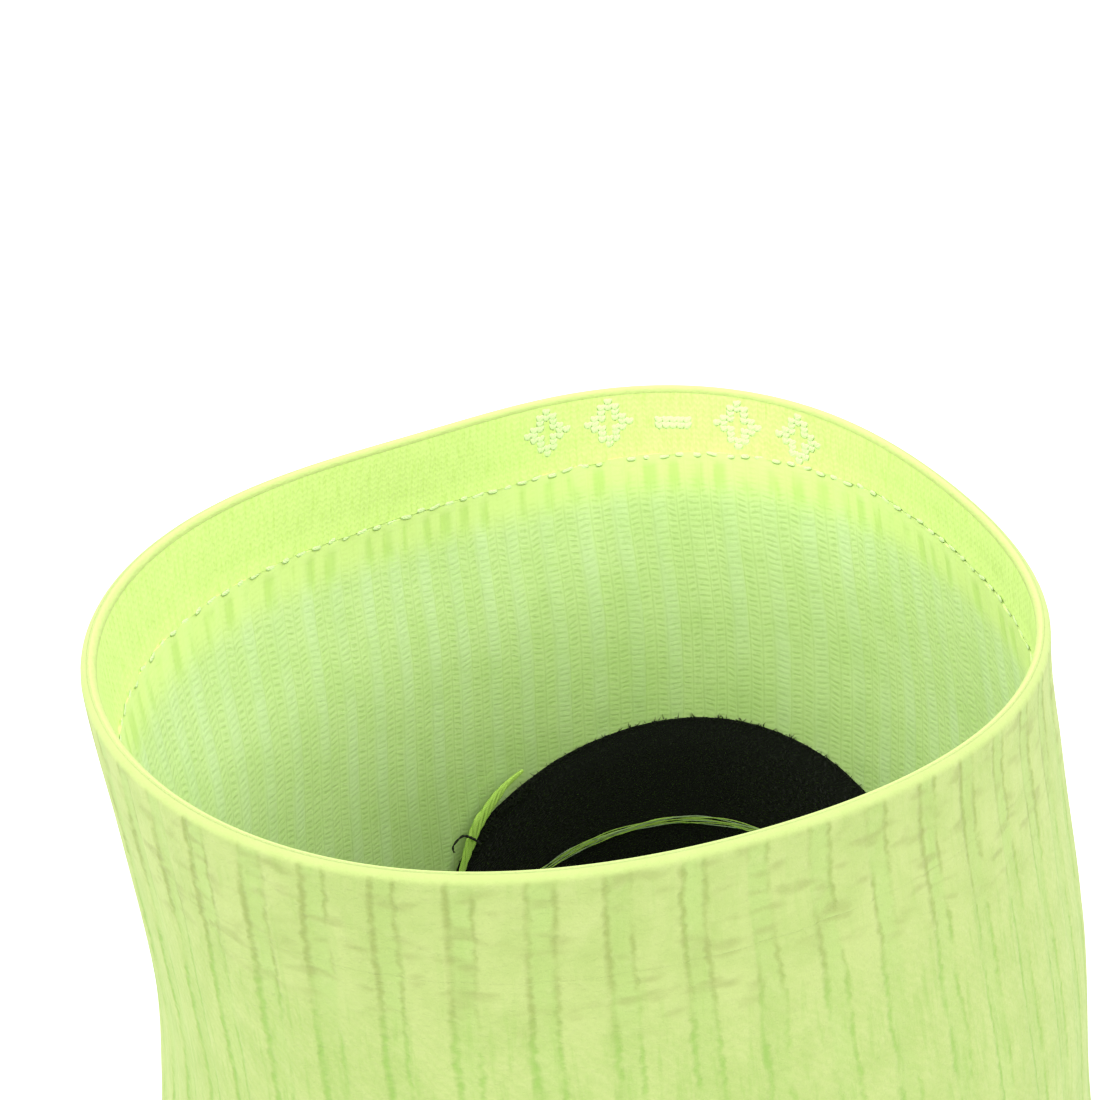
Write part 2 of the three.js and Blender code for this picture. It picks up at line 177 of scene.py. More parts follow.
class Board:
    """One material's node tree, with the few moves that every finish uses."""

    def __init__(self, name: str) -> None:
        """Make an empty material of this name.

        Args:
            name: The material's name.
        """
        self.material = bpy.data.materials.new(name)
        self.material.use_nodes = True
        self.tree = self.material.node_tree
        self.tree.nodes.clear()
        self.coordinates = self.tree.nodes.new("ShaderNodeTexCoord")

    def add(self, kind: str, settings: dict, inputs: dict, output: int | str = 0) -> Wire:
        """Add one node.

        Args:
            kind: The node's type.
            settings: Its settings, set before its sockets.
            inputs: Values or wires by socket number or name.
            output: The socket that is wanted.

        Returns:
            The node's output as a wire.
        """
        node = self.tree.nodes.new(kind)
        for key, value in settings.items():
            setattr(node, key, value)
        for key, value in inputs.items():
            if isinstance(value, Wire):
                self.tree.links.new(value.socket, node.inputs[key])
            elif isinstance(value, tuple) and node.inputs[key].type == "RGBA":
                node.inputs[key].default_value = (*value, 1.0)
            else:
                node.inputs[key].default_value = value
        return Wire(self, node.outputs[output])

    def place(self) -> Wire:
        """Return the Object coordinates."""
        return Wire(self, self.coordinates.outputs["Object"])

    def split(self, vector: Wire) -> tuple[Wire, Wire, Wire]:
        """Return the three parts of a vector.

        Args:
            vector: The vector.

        Returns:
            Its x, y and z.
        """
        first = self.add("ShaderNodeSeparateXYZ", {}, {0: vector})
        outputs = first.socket.node.outputs
        return first, Wire(self, outputs[1]), Wire(self, outputs[2])

    def stitches(self) -> tuple[Wire, Wire]:
        """Return the piece's own map: wales round it, and courses down it."""
        return self.split(Wire(self, self.coordinates.outputs["UV"]))[:2]

    def join(self, x: Wire | float, y: Wire | float, z: Wire | float = 0.0) -> Wire:
        """Return a vector of three values."""
        return self.add("ShaderNodeCombineXYZ", {}, {0: x, 1: y, 2: z})

    def noise(self, at: Wire, scale: float, detail: float = 2.0, rough: float = 0.5) -> Wire:
        """Return soft noise from 0 to 1.

        Args:
            at: The coordinates.
            scale: Lumps per unit.
            detail: Octaves.
            rough: How strong the finer octaves are.

        Returns:
            The noise.
        """
        return self.add(
            "ShaderNodeTexNoise", {}, {"Vector": at, "Scale": scale, "Detail": detail, "Roughness": rough}
        )

    def patchy(self, across: float, down: float, layer: float = 0.0, detail: float = 2.0, rough: float = 0.5) -> Wire:
        """Return soft noise laid over the cloth.

        Args:
            across: Lumps per wale.
            down: Lumps per course.
            layer: Which of many such patterns.
            detail: Octaves.
            rough: How strong the finer octaves are.

        Returns:
            The noise, from 0 to 1.
        """
        u, v = self.stitches()
        return self.noise(self.join(u * across, v * down, layer), 1.0, detail, rough)

    def mix(self, share: Wire | float, first: Wire | Colour, second: Wire | Colour) -> Wire:
        """Return first, going to second as share goes to 1.

        Args:
            share: From 0 to 1.
            first: A colour.
            second: A colour.

        Returns:
            The mixed colour.
        """
        return self.add("ShaderNodeMix", {"data_type": "RGBA"}, {0: share, 6: first, 7: second}, 2)

    def bump(self, height: Wire, distance: float, strength: float = 1.0) -> Wire:
        """Return a normal bent by a height.

        Args:
            height: Height as a share of distance.
            distance: Metres that a height of 1 stands up.
            strength: How much of it is used.

        Returns:
            The normal.
        """
        return self.add(
            "ShaderNodeBump", {}, {"Strength": strength, "Distance": distance, "Height": height}
        )

    def finish(self, colour: Wire, normal: Wire, roughness: Wire | float, constants: dict) -> bpy.types.Material:
        """Close the tree with a shader.

        Args:
            colour: The base colour.
            normal: The bent normal.
            roughness: How dull it is.
            constants: Other sockets that are the same all over.

        Returns:
            The material.
        """
        shader = self.add(
            "ShaderNodeBsdfPrincipled",
            {},
            {"Base Color": colour, "Normal": normal, "Roughness": roughness, **constants},
        )
        output = self.tree.nodes.new("ShaderNodeOutputMaterial")
        self.tree.links.new(shader.socket, output.inputs["Surface"])
        return self.material


# ---- finishes -----------------------------------------------------------------------------------

FUZZ = {"Sheen Weight": 0.07, "Sheen Roughness": 0.6, "Specular IOR Level": 0.12}


def dimmed(colour: Colour, share: float) -> Colour:
    """Return a share of a colour."""
    return (colour[0] * share, colour[1] * share, colour[2] * share)


@dataclass(frozen=True)
class RibOutside:
    """The outside of the 2 by 1 rib: broad soft ribs with a sunk wale between them."""

    name: str = "neon_rib_outside"
    rib: Colour = plain(216, 234, 148)
    channel: Colour = plain(204, 232, 138)
    # Painted shade in the creases; the lower colour also tints the fibres and streaks.
    shaded_crease: Colour = plain(176, 192, 106)
    low_crease_shade_and_fibre: Colour = plain(172, 214, 104)
    blotch: Colour = plain(184, 196, 118)
    cloud: Colour = plain(200, 224, 132)
    light: Colour = plain(224, 238, 160)
    # The fold's own colour, also used to paint a highlight on the top of the rim.
    fold_and_crest_highlight: Colour = plain(226, 248, 152)
    rim_height: float = 0.108
    dim: float = 0.53
    crest_highlight_dim: float = 0.6
    inner_dim: float = 0.68

    def make(self) -> bpy.types.Material:
        """Wire up the finish.

        Returns:
            The material.
        """
        b = Board(self.name)
        u, v = b.stitches()
        drop = self.rim_height - b.split(b.place())[2]
        # The ribs wander a little, with a sunk wale between each two.
        wander = b.patchy(0.5, 0.1, detail=3.0)
        jog = b.patchy(0.7, 1.1, 2.0)
        around = (u + (wander - 0.5) * 0.6 + (jog - 0.5) * 0.4) % 3.0
        channel = around.near(2.5, 0.34, 0.4)
        # A deep crease runs along one side of the sunk wale and a fainter one along the other, both broken up and
        # both painted darker as shade.
        strong_break = b.patchy(0.42, 0.1, 3.0, detail=3.0, rough=0.6)
        faint_break = b.patchy(0.42, 0.12, 9.0, detail=3.0, rough=0.6)
        beads = b.patchy(0.9, 0.9, 5.0)
        width = beads * 0.1
        strong_place = abs(around - 2.97).smallest(abs(around + 0.03))
        strong = (1.0 - (strong_place - width).step(-0.04, 0.2)) * strong_break.step(0.36, 0.54)
        faint = (1.0 - (abs(around - 1.98) - width).step(-0.06, 0.16)) * faint_break.step(0.41, 0.56)
        shaded_crease = strong.largest(faint * 0.9) * (0.55 + 0.45 * beads.step(0.3, 0.6))
        # The cuff ends where the leg begins, and the fold over the rim has no creases.
        cuff = drop.step(0.008, 0.0125, 1.0, 0.0)
        inner = v.step(-30.0, -20.0, 1.0, 0.0)
        fold = drop.step(0.0001, 0.0006) * (1.0 - inner)
        lower = 1.0 - cuff
        # Darker blotches on the cuff, cloudy dye and fine slanting fibres.
        blotch = b.patchy(0.55, 0.6, 1.0, detail=1.0)
        patches = b.patchy(0.3, 0.12, 4.0)
        blotch = blotch.step(0.5, 0.72) * patches.step(0.36, 0.54) * cuff * fold
        cloud = b.noise(b.place(), 260.0, 3.0, 0.6)
        mottle = b.noise(b.place(), 1000.0, 3.0, 0.7)
        fuzz = b.patchy(2.4, 1.6, 7.0, detail=3.0, rough=0.7)
        lean = (u * 1.7 + v * 0.8 + (mottle - 0.5) * 2.5) * TURN
        grain = lean.sine() * 0.5 + 0.5
        # Colours are laid from the ground up: rib, dye, fibres, painted shade in the creases, darker blotches, a
        # painted highlight on the rim's crest, and the fold's turned-in face.
        colours = (self.rib, self.channel, self.cloud, self.light, self.shaded_crease, self.low_crease_shade_and_fibre, self.blotch)
        rib, sunk, dusk, light, dark, low_shade_and_fibre, blotch_tint = (dimmed(c, self.dim) for c in colours)
        ground = b.mix(channel * (0.85 - 0.35 * lower) * fold, rib, sunk)
        ground = b.mix(cloud.step(0.38, 0.68) * 0.7, ground, dusk)
        ground = b.mix(mottle.step(0.48, 0.75) * 0.35, ground, light)
        # Painted shade along the creases, greener lower down.
        line = b.mix(lower, dark, low_shade_and_fibre)
        ground = b.mix(shaded_crease * fold * (0.74 + 0.06 * lower), ground, line)
        ground = b.mix(blotch * 0.6, ground, blotch_tint)
        ground = b.mix(grain * fuzz * 0.3 * lower, ground, low_shade_and_fibre)
        streak = b.patchy(2.1, 0.12, 12.0, detail=3.0, rough=0.6).step(0.5, 0.7)
        ground = b.mix(streak * fold * (0.16 + 0.22 * lower), ground, low_shade_and_fibre)
        # Painted highlight: the top of the rim, lit from above, is painted lighter.
        ground = b.mix((1.0 - drop.step(0.0, 0.0006)) * 0.65, ground, dimmed(self.fold_and_crest_highlight, self.crest_highlight_dim))
        ground = b.mix(inner, ground, dimmed(self.fold_and_crest_highlight, self.inner_dim))
        raised = (fuzz - 0.5) * 0.5 + (mottle - 0.5) * 1.0 + grain * 0.06 * lower
        height = raised - shaded_crease * fold * 0.4 - blotch * 0.1
        return b.finish(ground, b.bump(height, 0.0002, 0.7), 0.92, FUZZ)


@dataclass(frozen=True)
class RibInside:
    """The inside of the rib: fine wavy courses with a pale plated wale standing up in each rib."""

    name: str = "neon_rib_inside"
    ground: Colour = plain(213, 237, 165)
    stripe: Colour = plain(215, 238, 181)
    # The dash colour also paints shade along the edges of each wale.
    dash_and_edge_shade: Colour = plain(168, 202, 114)
    # Painted shade in the gathers below the closing stitch.
    gather_shade: Colour = plain(176, 218, 98)
    cloud: Colour = plain(188, 222, 128)
    # The band below the cuff: partly the yarn's own brighter colour, partly painted light near the opening.
    cuff_end_tint_and_light: Colour = plain(226, 248, 152)
    plain_from: float = 0.9
    plain_to: float = 4.1
    gathered: bool = True

    def make(self) -> bpy.types.Material:
        """Wire up the finish.

        Returns:
            The material.
        """
        b = Board(self.name)
        u, v = b.stitches()
        # Pale wales, but for a few plain ones at the middle of the back.
        soft = b.patchy(0.35, 0.05)
        around = (u + (soft - 0.5) * 0.35) % 3.0
        fade = b.patchy(0.33, 0.035, 2.0)
        past_first = u.step(self.plain_from - 0.3, self.plain_from)
        before_last = u.step(self.plain_to, self.plain_to + 0.3, 1.0, 0.0)
        pale = around.near(2.5, 0.2, 0.68) * fade.step(0.25, 0.6) * (1.0 - past_first * before_last * 0.9)
        # Each stitch is a short dash, tilted the other way in every second wale.
        inside = u % 1.0
        odd = u.floor() % 2.0
        jitter = b.patchy(0.8, 0.35, 6.0) - 0.5
        tilt = (inside - 0.5) * (odd * 0.64 - 0.32)
        course = (v + tilt + odd * 0.12 + jitter * 1.2) % 1.0
        dashes = course.near(0.5, 0.08, 0.26) * (1.0 - abs(inside - 0.5).step(0.18, 0.46) * 0.85)
        strength = b.patchy(0.9, 0.9, 8.0).step(0.3, 0.6)
        dashes = dashes * (0.45 + 0.55 * strength)
        # Painted shade along the edges of each wale, where the cloth dips.
        shaded_wale_edge = abs(inside - 0.5).step(0.36, 0.5)
        cloud = b.noise(b.place(), 160.0, 3.0, 0.6)
        speck = b.noise(b.place(), 2200.0, 2.0, 0.7)
        ground = b.mix(pale * 0.8, self.ground, self.stripe)
        ground = b.mix(cloud.step(0.35, 0.7) * 0.3, ground, self.cloud)
        coloured = b.mix(dashes * (0.42 - 0.2 * pale), ground, self.dash_and_edge_shade)
        coloured = b.mix(shaded_wale_edge * (0.24 - 0.16 * pale) + speck.step(0.5, 0.75) * 0.25, coloured, self.dash_and_edge_shade)
        height = pale * 0.3 - dashes * 0.22 - shaded_wale_edge * 0.15 - speck * 0.3
        if self.gathered:
            # Just below the closing stitch the cloth gathers, with painted shade in the gathers, and its courses fade
            # as on the cuff into a brighter band that is partly the yarn's own colour and partly painted light.
            spot = b.patchy(0.5, 0.06, 11.0)
            every = abs(u % 2.0 - 1.0).step(0.25, 0.7, 1.0, 0.0)
            gather_shade = every * v.step(0.0, 2.0) * v.step(4.2, 8.4, 1.0, 0.0) * spot.step(0.38, 0.58)
            top = v.step(2.5, 9.0, 1.0, 0.0)
            # A brighter band below the cuff, partly the yarn's colour and partly painted light.
            coloured = b.mix(top * 0.75, coloured, self.cuff_end_tint_and_light)
            # Painted shade in the gathers.
            coloured = b.mix(gather_shade * 0.42, coloured, self.gather_shade)
            height = height * (1.0 - top * 0.7) - gather_shade * 0.6
        return b.finish(coloured, b.bump(height, 0.00013, 0.7), 0.94, FUZZ)


@dataclass(frozen=True)
class SmoothKnit:
    """Plain neon knit with a fine upright grain, as on the turned-in cuff and the accent stripe."""

    name: str = "neon_smooth_knit"
    ground: Colour = plain(226, 249, 152)
    # Painted shade in the valleys between wales.
    shaded_valley: Colour = plain(200, 232, 120)
    cloud: Colour = plain(214, 240, 138)
    wales: float = 1.6
    dim: float = 1.0

    def make(self) -> bpy.types.Material:
        """Wire up the finish.

        Returns:
            The material.
        """
        b = Board(self.name)
        u, v = b.stitches()
        inside = (u * self.wales) % 1.0
        wobble = b.patchy(0.9, 0.4, 1.0) - 0.5
        leg = abs(inside - 0.5) * 1.1
        course = (v * 1.1 + leg + wobble * 0.8) % 1.0
        stitch = course.near(0.5, 0.12, 0.3)
        shaded_valley = abs(inside - 0.5).step(0.28, 0.5)
        grain = b.patchy(3.4, 0.3, 3.0, detail=3.0, rough=0.7)
        cloud = b.noise(b.place(), 300.0, 3.0, 0.6)
        # The valleys get a little painted shade; the stitches and grain are the knit's own.
        dark = stitch * 0.08 + shaded_valley * 0.08 + grain.step(0.42, 0.72) * 0.62
        light, low, dusk = (dimmed(c, self.dim) for c in (self.ground, self.shaded_valley, self.cloud))
        colour = b.mix(dark, light, low)
        colour = b.mix(cloud.step(0.4, 0.7) * 0.25, colour, dusk)
        height = (grain - 0.5) * 0.6 - shaded_valley * 0.2 - stitch * 0.2
        return b.finish(colour, b.bump(height, 0.0001, 0.6), 0.92, FUZZ)


@dataclass(frozen=True)
class BlackKnit:
    """Black terry inside, or its flat face outside."""

    name: str = "black_terry"
    ground: Colour = plain(17, 20, 15)
    lit: Colour = plain(44, 48, 40)
    cloud: Colour = plain(10, 12, 9)
    looped: bool = True

    def make(self) -> bpy.types.Material:
        """Wire up the finish.

        Returns:
            The material.
        """
        b = Board(self.name)
        u, v = b.stitches()
        inside = u % 1.0
        wobble = b.patchy(0.9, 0.5, 2.0) - 0.5
        if self.looped:
            cell = b.add(
                "ShaderNodeTexVoronoi",
                {"feature": "DISTANCE_TO_EDGE"},
                {
                    "Vector": b.join(u * 1.6 + wobble * 0.8, v * 0.95 + (u.floor() % 2.0) * 0.5),
                    "Scale": 1.0,
                    "Randomness": 0.7,
                },
            )
            crown = cell.step(0.02, 0.4)
            curl = ((u * 2.0 + v * 1.3 + wobble * 5.0) * TURN).sine() * 0.5 + 0.5
            glint = crown * curl * b.patchy(1.4, 0.9, 4.0).step(0.42, 0.7)
            height = crown + curl * 0.3
            depth = 0.00035
        else:
            leg = abs(inside - 0.5) * 1.0
            course = (v + leg + wobble * 0.3) % 1.0
            shaded_valley = abs(inside - 0.5).step(0.3, 0.5)
            glint = course.near(0.5, 0.15, 0.35) * (1.0 - shaded_valley)
            height = glint - shaded_valley
            depth = 0.00018
        cloud = b.noise(b.place(), 140.0, 3.0, 0.6)
        colour = b.mix(glint * 0.55, self.ground, self.lit)
        colour = b.mix(cloud.step(0.45, 0.75) * 0.4, colour, self.cloud)
        dull = {**FUZZ, "Sheen Weight": 0.05, "Specular IOR Level": 0.08}
        return b.finish(colour, b.bump(height, depth, 0.8), 0.95, dull)


@dataclass(frozen=True)
class Yarn:
    """A spun yarn: fine filaments wound round it, lighter on the crown, with painted shade in the hollows between
    them.
    """

    name: str
    ground: Colour
    # Painted shade between the wound filaments.
    shaded_hollow: Colour
    turns: float = 3.0
    dull: float = 0.9

    def make(self) -> bpy.types.Material:
        """Wire up the finish.

        Returns:
            The material.
        """
        b = Board(self.name)
        u, v = b.stitches()
        wobble = b.patchy(3.0, 0.8, 1.0) - 0.5
        wound = ((u * 6.0 + v * self.turns + wobble * 0.8) * TURN).sine() * 0.5 + 0.5
        hair = b.patchy(14.0, 2.0, 5.0, detail=3.0, rough=0.7)
        # Painted shade in the hollows of the winding, and darker hairs.
        colour = b.mix((1.0 - wound) * 0.5 + hair.step(0.5, 0.8) * 0.35, self.ground, self.shaded_hollow)
        height = wound * 0.5 + hair * 0.5
        return b.finish(colour, b.bump(height, 0.00005, 0.8), self.dull, FUZZ)


@dataclass(frozen=True)
class ArchKnit:
    """The arch band's close 1 by 1 rib."""

    name: str = "arch_rib"
    ground: Colour = plain(200, 232, 116)
    # Painted shade in the rib's valleys.
    shaded_hollow: Colour = plain(146, 186, 74)
    cloud: Colour = plain(206, 236, 130)
    dim: float = 0.56

    def make(self) -> bpy.types.Material:
        """Wire up the finish.

        Returns:
            The material.
        """
        b = Board(self.name)
        u, v = b.stitches()
        inside = (u * 0.75) % 1.0
        shaded_valley = abs(inside - 0.5).step(0.2, 0.48)
        wobble = b.patchy(0.8, 0.5, 2.0) - 0.5
        course = (v + abs(inside - 0.5) * 0.9 + wobble * 0.6) % 1.0
        stitch = course.near(0.5, 0.14, 0.3)
        cloud = b.noise(b.place(), 260.0, 3.0, 0.6)
        light, low, dusk = (dimmed(c, self.dim) for c in (self.ground, self.shaded_hollow, self.cloud))
        # The rib's valleys are painted darker as shade.
        colour = b.mix(shaded_valley * 0.6 + stitch * 0.22, light, low)
        colour = b.mix(cloud.step(0.4, 0.7) * 0.25, colour, dusk)
        height = -0.8 * shaded_valley - 0.3 * stitch
        return b.finish(colour, b.bump(height, 0.0003, 0.8), 0.92, FUZZ)


@dataclass(frozen=True)
class FloorPaint:
    """A plain pale floor with the faintest unevenness."""

    name: str = "pale_floor"
    light: Colour = (0.98, 0.98, 0.98)
    shade: Colour = (0.96, 0.96, 0.96)

    def make(self) -> bpy.types.Material:
        """Wire up the finish.

        Returns:
            The material.
        """
        b = Board(self.name)
        cloud = b.noise(b.place(), 3.0, 2.0)
        colour = b.mix(cloud * 0.5, self.light, self.shade)
        return b.finish(colour, b.bump(cloud, 0.0002, 0.1), 0.9, {"Specular IOR Level": 0.1})


# ---- the form -----------------------------------------------------------------------------------


def between(a: np.ndarray, b: np.ndarray, c: np.ndarray, d: np.ndarray, t: np.ndarray | float) -> np.ndarray:
    """Return what lies a share t of the way from b to c, on a smooth curve through all four."""
    return b + 0.5 * t * (c - a + t * (2 * a - 5 * b + 4 * c - d + t * (3 * (b - c) + d - a)))


def smooth_line(stops: np.ndarray, steps: int) -> np.ndarray:
    """Return a smooth line through points.

    Args:
        stops: The points, one row each.
        steps: Points made between each two stops.

    Returns:
        The line's points.
    """
    made = []
    for index in range(len(stops) - 1):
        a, b, c, d = (stops[min(max(index + k, 0), len(stops) - 1)] for k in (-1, 0, 1, 2))
        made += [between(a, b, c, d, t) for t in np.arange(steps) / steps]
    return np.array([*made, stops[-1]])


def unit(vectors: np.ndarray) -> np.ndarray:
    """Return vectors made 1 long."""
    return vectors / np.linalg.norm(vectors, axis=-1, keepdims=True)


def lengths_along(path: np.ndarray) -> np.ndarray:
    """Return how far along a path each of its points lies."""
    return np.concatenate([[0], np.cumsum(np.linalg.norm(np.diff(path, axis=0), axis=1))])


class Edge(Enum):
    """The lines that the sock's knitted zones meet along."""

    PATCH = "patch"
    ACCENT_TOP = "accent top"
    ACCENT_LOW = "accent low"
    GORE = "gore"
    SPLIT = "split"
    ARCH = "arch"
    FOREFOOT = "forefoot"
    TOE = "toe"


@dataclass
class SockForm:
    """The sock's outer surface, in millimetres: a loft through ovals that join the front line to the back line."""

    rim_height: float
    heel_back: float
    foot_length: float
    ball_half_width: float
    rim_half_width: float = 35.0
    rim_half_depth: float = 43.0
    ankle_half_width: float = 38.8
    heel_reach: float = 48.0
    ankle_height: float = 70.0
    instep_height: float = 56.0
    toe_height: float = 22.0
    cuff_lean: float = 7.5
    dip: float = 3.0
    cuff_depth: float = 7.5
    cuff_thickness: float = 1.12
    cuff_layer: float = 0.34
    fold_height: float = 0.55
    level_to: float = 15.0
    level_over: float = 6.5
    rib_wall: float = 1.2
    pad_wall: float = 2.2
    seam: float = 0.3
    wales: int = 174
    rib_stops: tuple[tuple[float, float], ...] = (
        (-151.3, -75),
        (-75, -36.5),
        (-47, -21.5),
        (-30, -12.5),
        (-3, -0.5),
        (9, 5.5),
        (31, 14.5),
        (57.5, 29.5),
        (130, 66),
        (158, 78),
        (180.8, 87),
        (208.7, 99),
    )
    course: float = 0.68
    patch_top: float = 69.3
    patch_half_depth: float = 14.5
    patch_tilt: float = math.tan(math.radians(5.5))
    accent_height: float = 56.5
    accent_slope: float = 0.6
    accent_width: float = 1.8
    gore_heights: tuple[float, float, float] = (44, 24, 9)
    arch_start: float = 8.3
    forefoot_start: float = 10.6
    toe_start: float = 14.4
    stations: np.ndarray = field(init=False)

    def __post_init__(self) -> None:
        """Lay out the stations and the patch line from the sizes."""
        centre = self.leg_centre = self.heel_back - self.heel_reach
        depth, ankle, ball = self.rim_half_depth, self.ankle_half_width, self.ball_half_width
        instep, toe, dip = self.instep_height, self.toe_height, -self.dip
        foot, leg = self.along_foot, self.up_leg
        # Each row is the front point, the back point, the half width, and the shares of lean and of slack.
        rows = [
            (centre - depth, self.rim_height, centre + depth, self.rim_height, self.rim_half_width, 1, 1),
            (centre - depth - 0.4, leg(0.68), centre + depth - 0.8, leg(0.68), self.rim_half_width + 1.3, 0.8, 0.62),
            (centre - depth - 3, leg(0.37), centre + depth - 1.1, leg(0.3), ankle - 1.6, 0.48, 0.37),
            (foot(0.386), self.ankle_height + 6, centre + depth - 0.6, 66, ankle - 0.8, 0.34, 0.2),
            (foot(0.41), self.ankle_height, self.heel_back - 3, 51, ankle, 0.2, 0.08),
            (foot(0.435), instep + 9, self.heel_back - 0.3, 36, ankle, 0.12, 0),
            (foot(0.462), instep + 5.5, self.heel_back, 20, ankle - 1, 0, 0),
            (foot(0.49), instep + 2.5, foot(0.02), 6, ankle - 2, 0, 0),
            (foot(0.522), instep - 0.5, foot(0.067), -1, ankle - 2, 0, 0),
            (foot(0.56), instep - 4.5, foot(0.142), dip, ankle - 1.5, 0, 0),
            (foot(0.608), instep - 9, foot(0.23), dip, ankle, 0, 0),
            (foot(0.665), instep - 14, foot(0.346), dip, ball - 6.5, 0, 0),
            (foot(0.725), instep - 20, foot(0.504), dip, ball - 2, 0, 0),
            (foot(0.788), toe + 9, foot(0.661), dip, ball, 0, 0),
            (foot(0.85), toe + 4.5, foot(0.787), dip, ball - 1, 0, 0),
            (foot(0.913), toe, foot(0.882), dip, ball * 0.87, 0, 0),
            (foot(0.96), toe - 4.5, foot(0.945), -2.5, ball * 0.69, 0, 0),
            (foot(0.988), toe - 9.5, foot(0.984), 0.5, ball * 0.46, 0, 0),
            (foot(1), toe - 14, foot(1), 5, ball * 0.22, 0, 0),
        ]
        self.stations = np.array(rows, float)
        self.stations[:, 5] *= -self.cuff_lean
        self.last = len(rows) - 1
        back = centre + depth - 0.6
        side = self.patch_side = back - self.patch_half_depth
        top = self.patch_top
        stops = np.array(
            [
                (back + 20, top + 20 * self.accent_slope),
                (back, top),
                (back - 6, top - 4),
                (side + 3, top - 10),
                (side, top - 20),
                (side - 2.5, top - 31),
                (side - 12, 28),
                (side - 34, 20),
                (foot(0.36), 15),
                (foot(0.58), 12.5),
                (foot(0.8), 11.5),
                (foot(1.1), 11.5),
            ]
        )
        self.patch = smooth_line(stops, 30)[::-1]

    def along_foot(self, share: float) -> float:
        """Return how far back a share of the foot's length from the heel is."""
        return self.heel_back - share * self.foot_length

    def up_leg(self, share: float) -> float:
        """Return the height a share of the way from the ankle to the rim."""
        return self.ankle_height + share * (self.rim_height - self.ankle_height)

    def section(self, place: np.ndarray) -> np.ndarray:
        """Return the station values at places between stations, on a smooth curve through them.

        Args:
            place: Station places.

        Returns:
            One row of station values for each place.
        """
        place = np.clip(np.asarray(place, float), 0, self.last)
        first = np.minimum(np.floor(place).astype(int), self.last - 1)
        t = (place - first)[..., None]
        a, b, c, d = (self.stations[np.clip(first + k, 0, self.last)] for k in (-1, 0, 1, 2))
        return between(a, b, c, d, t)

    def surface(self, place: np.ndarray, angle: np.ndarray) -> np.ndarray:
        """Return points of the outer surface before the floor flattens it.

        Args:
            place: Station places.
            angle: Angles, 0 at the back of the leg and the middle of the sole.

        Returns:
            The points, one row of three each.
        """
        s = self.section(place)
        slack = (
            0.042 * np.cos(3 * (angle - 0.055)) + 0.024 * np.cos(4 * (angle - 0.08)) + 0.063 * np.sin(2 * angle)
        )
        k = 1 + s[..., 6] * slack
        reach, side = k * np.cos(angle), k * np.sin(angle)
        return np.stack(
            [
                s[..., 5] + s[..., 4] * side,
                (s[..., 0] + s[..., 2]) / 2 + (s[..., 2] - s[..., 0]) / 2 * reach,
                (s[..., 1] + s[..., 3]) / 2 + (s[..., 3] - s[..., 1]) / 2 * reach,
            ],
            -1,
        )

    def outward(self, place: np.ndarray, angle: np.ndarray) -> np.ndarray:
        """Return the outward direction at these places and angles.

        Args:
            place: Station places.
            angle: Angles in radians, 0 at the back of the leg.

        Returns:
            Directions of length 1.
        """
        step = 0.02
        low, high = np.maximum(place - step, 0), np.minimum(place + step, self.last)
        along = self.surface(high, angle) - self.surface(low, angle)
        round_it = self.surface(place, angle + step) - self.surface(place, angle - step)
        return unit(np.cross(round_it, along))

    def wall(self, place: np.ndarray, angle: np.ndarray, depth: np.ndarray | float) -> np.ndarray:
        """Return points at a depth below the outer surface, pressed flat by the floor.

        Args:
            place: Station places.
            angle: Angles in radians, 0 at the back of the leg.
            depth: Millimetres below the outer surface.

        Returns:
            The points.
        """
        depth = np.broadcast_to(np.asarray(depth, float), np.shape(place))
        points = self.surface(place, angle) - self.outward(place, angle) * depth[..., None]
        points[..., 2] = np.maximum(points[..., 2], np.maximum(depth, 0))
        return points

    def below_rim(self, drop: np.ndarray) -> np.ndarray:
        """Return the place that lies a distance below the rim."""
        return drop / (self.rim_height - self.stations[1, 1])

    def cuff(self, drop: np.ndarray, angle: np.ndarray, depth: np.ndarray | float) -> np.ndarray:
        """Return points on the level courses near the rim."""
        return self.levelled(self.wall(self.below_rim(drop), angle, depth), drop)

    def levelled(self, points: np.ndarray, drop: np.ndarray) -> np.ndarray:
        """Return points with the courses near the rim made level.

        Args:
            points: Points near the rim.
            drop: Millimetres below the rim.

        Returns:
            The same points, moved.
        """
        level = np.clip((self.level_to - drop) / self.level_over, 0, 1)
        points[..., 2] += (self.rim_height - drop - points[..., 2]) * level
        return points

    def seat(self, drop: np.ndarray, angle: np.ndarray, depth: np.ndarray | float) -> tuple[np.ndarray, ...]:
        """Find where a stitch sits near the rim.

        Args:
            drop: Millimetres below the rim.
            angle: Its angle in radians, 0 at the back of the leg.
            depth: Millimetres below the outer surface.

        Returns:
            The point, a step round the leg from it, and the direction into the leg.
        """
        centre = self.cuff(drop, angle, depth)[0]
        step = self.cuff(drop, angle + 0.02, depth)[0] - centre
        return centre, step, -self.outward(self.below_rim(drop), angle)[0]

    def stitch_drop(self, angle: np.ndarray) -> np.ndarray:
        """Return how far below the rim the cuff is closed: the turned edge runs a little askew.

        Args:
            angle: Angles in radians, 0 at the back of the leg.

        Returns:
            Millimetres below the rim.
        """
        stops = np.radians([-180, -130, -85, -60, -30, 0, 20, 40, 62, 90, 130, 180])
        drops = self.cuff_depth + np.array([-0.4, 0.0, 0.4, 0.8, 0.9, -0.3, -1.1, -1.9, -1.9, -1.7, -1.0, -0.4])
        turned = (np.asarray(angle) + math.pi) % (2 * math.pi) - math.pi
        return np.interp(turned, stops, drops)

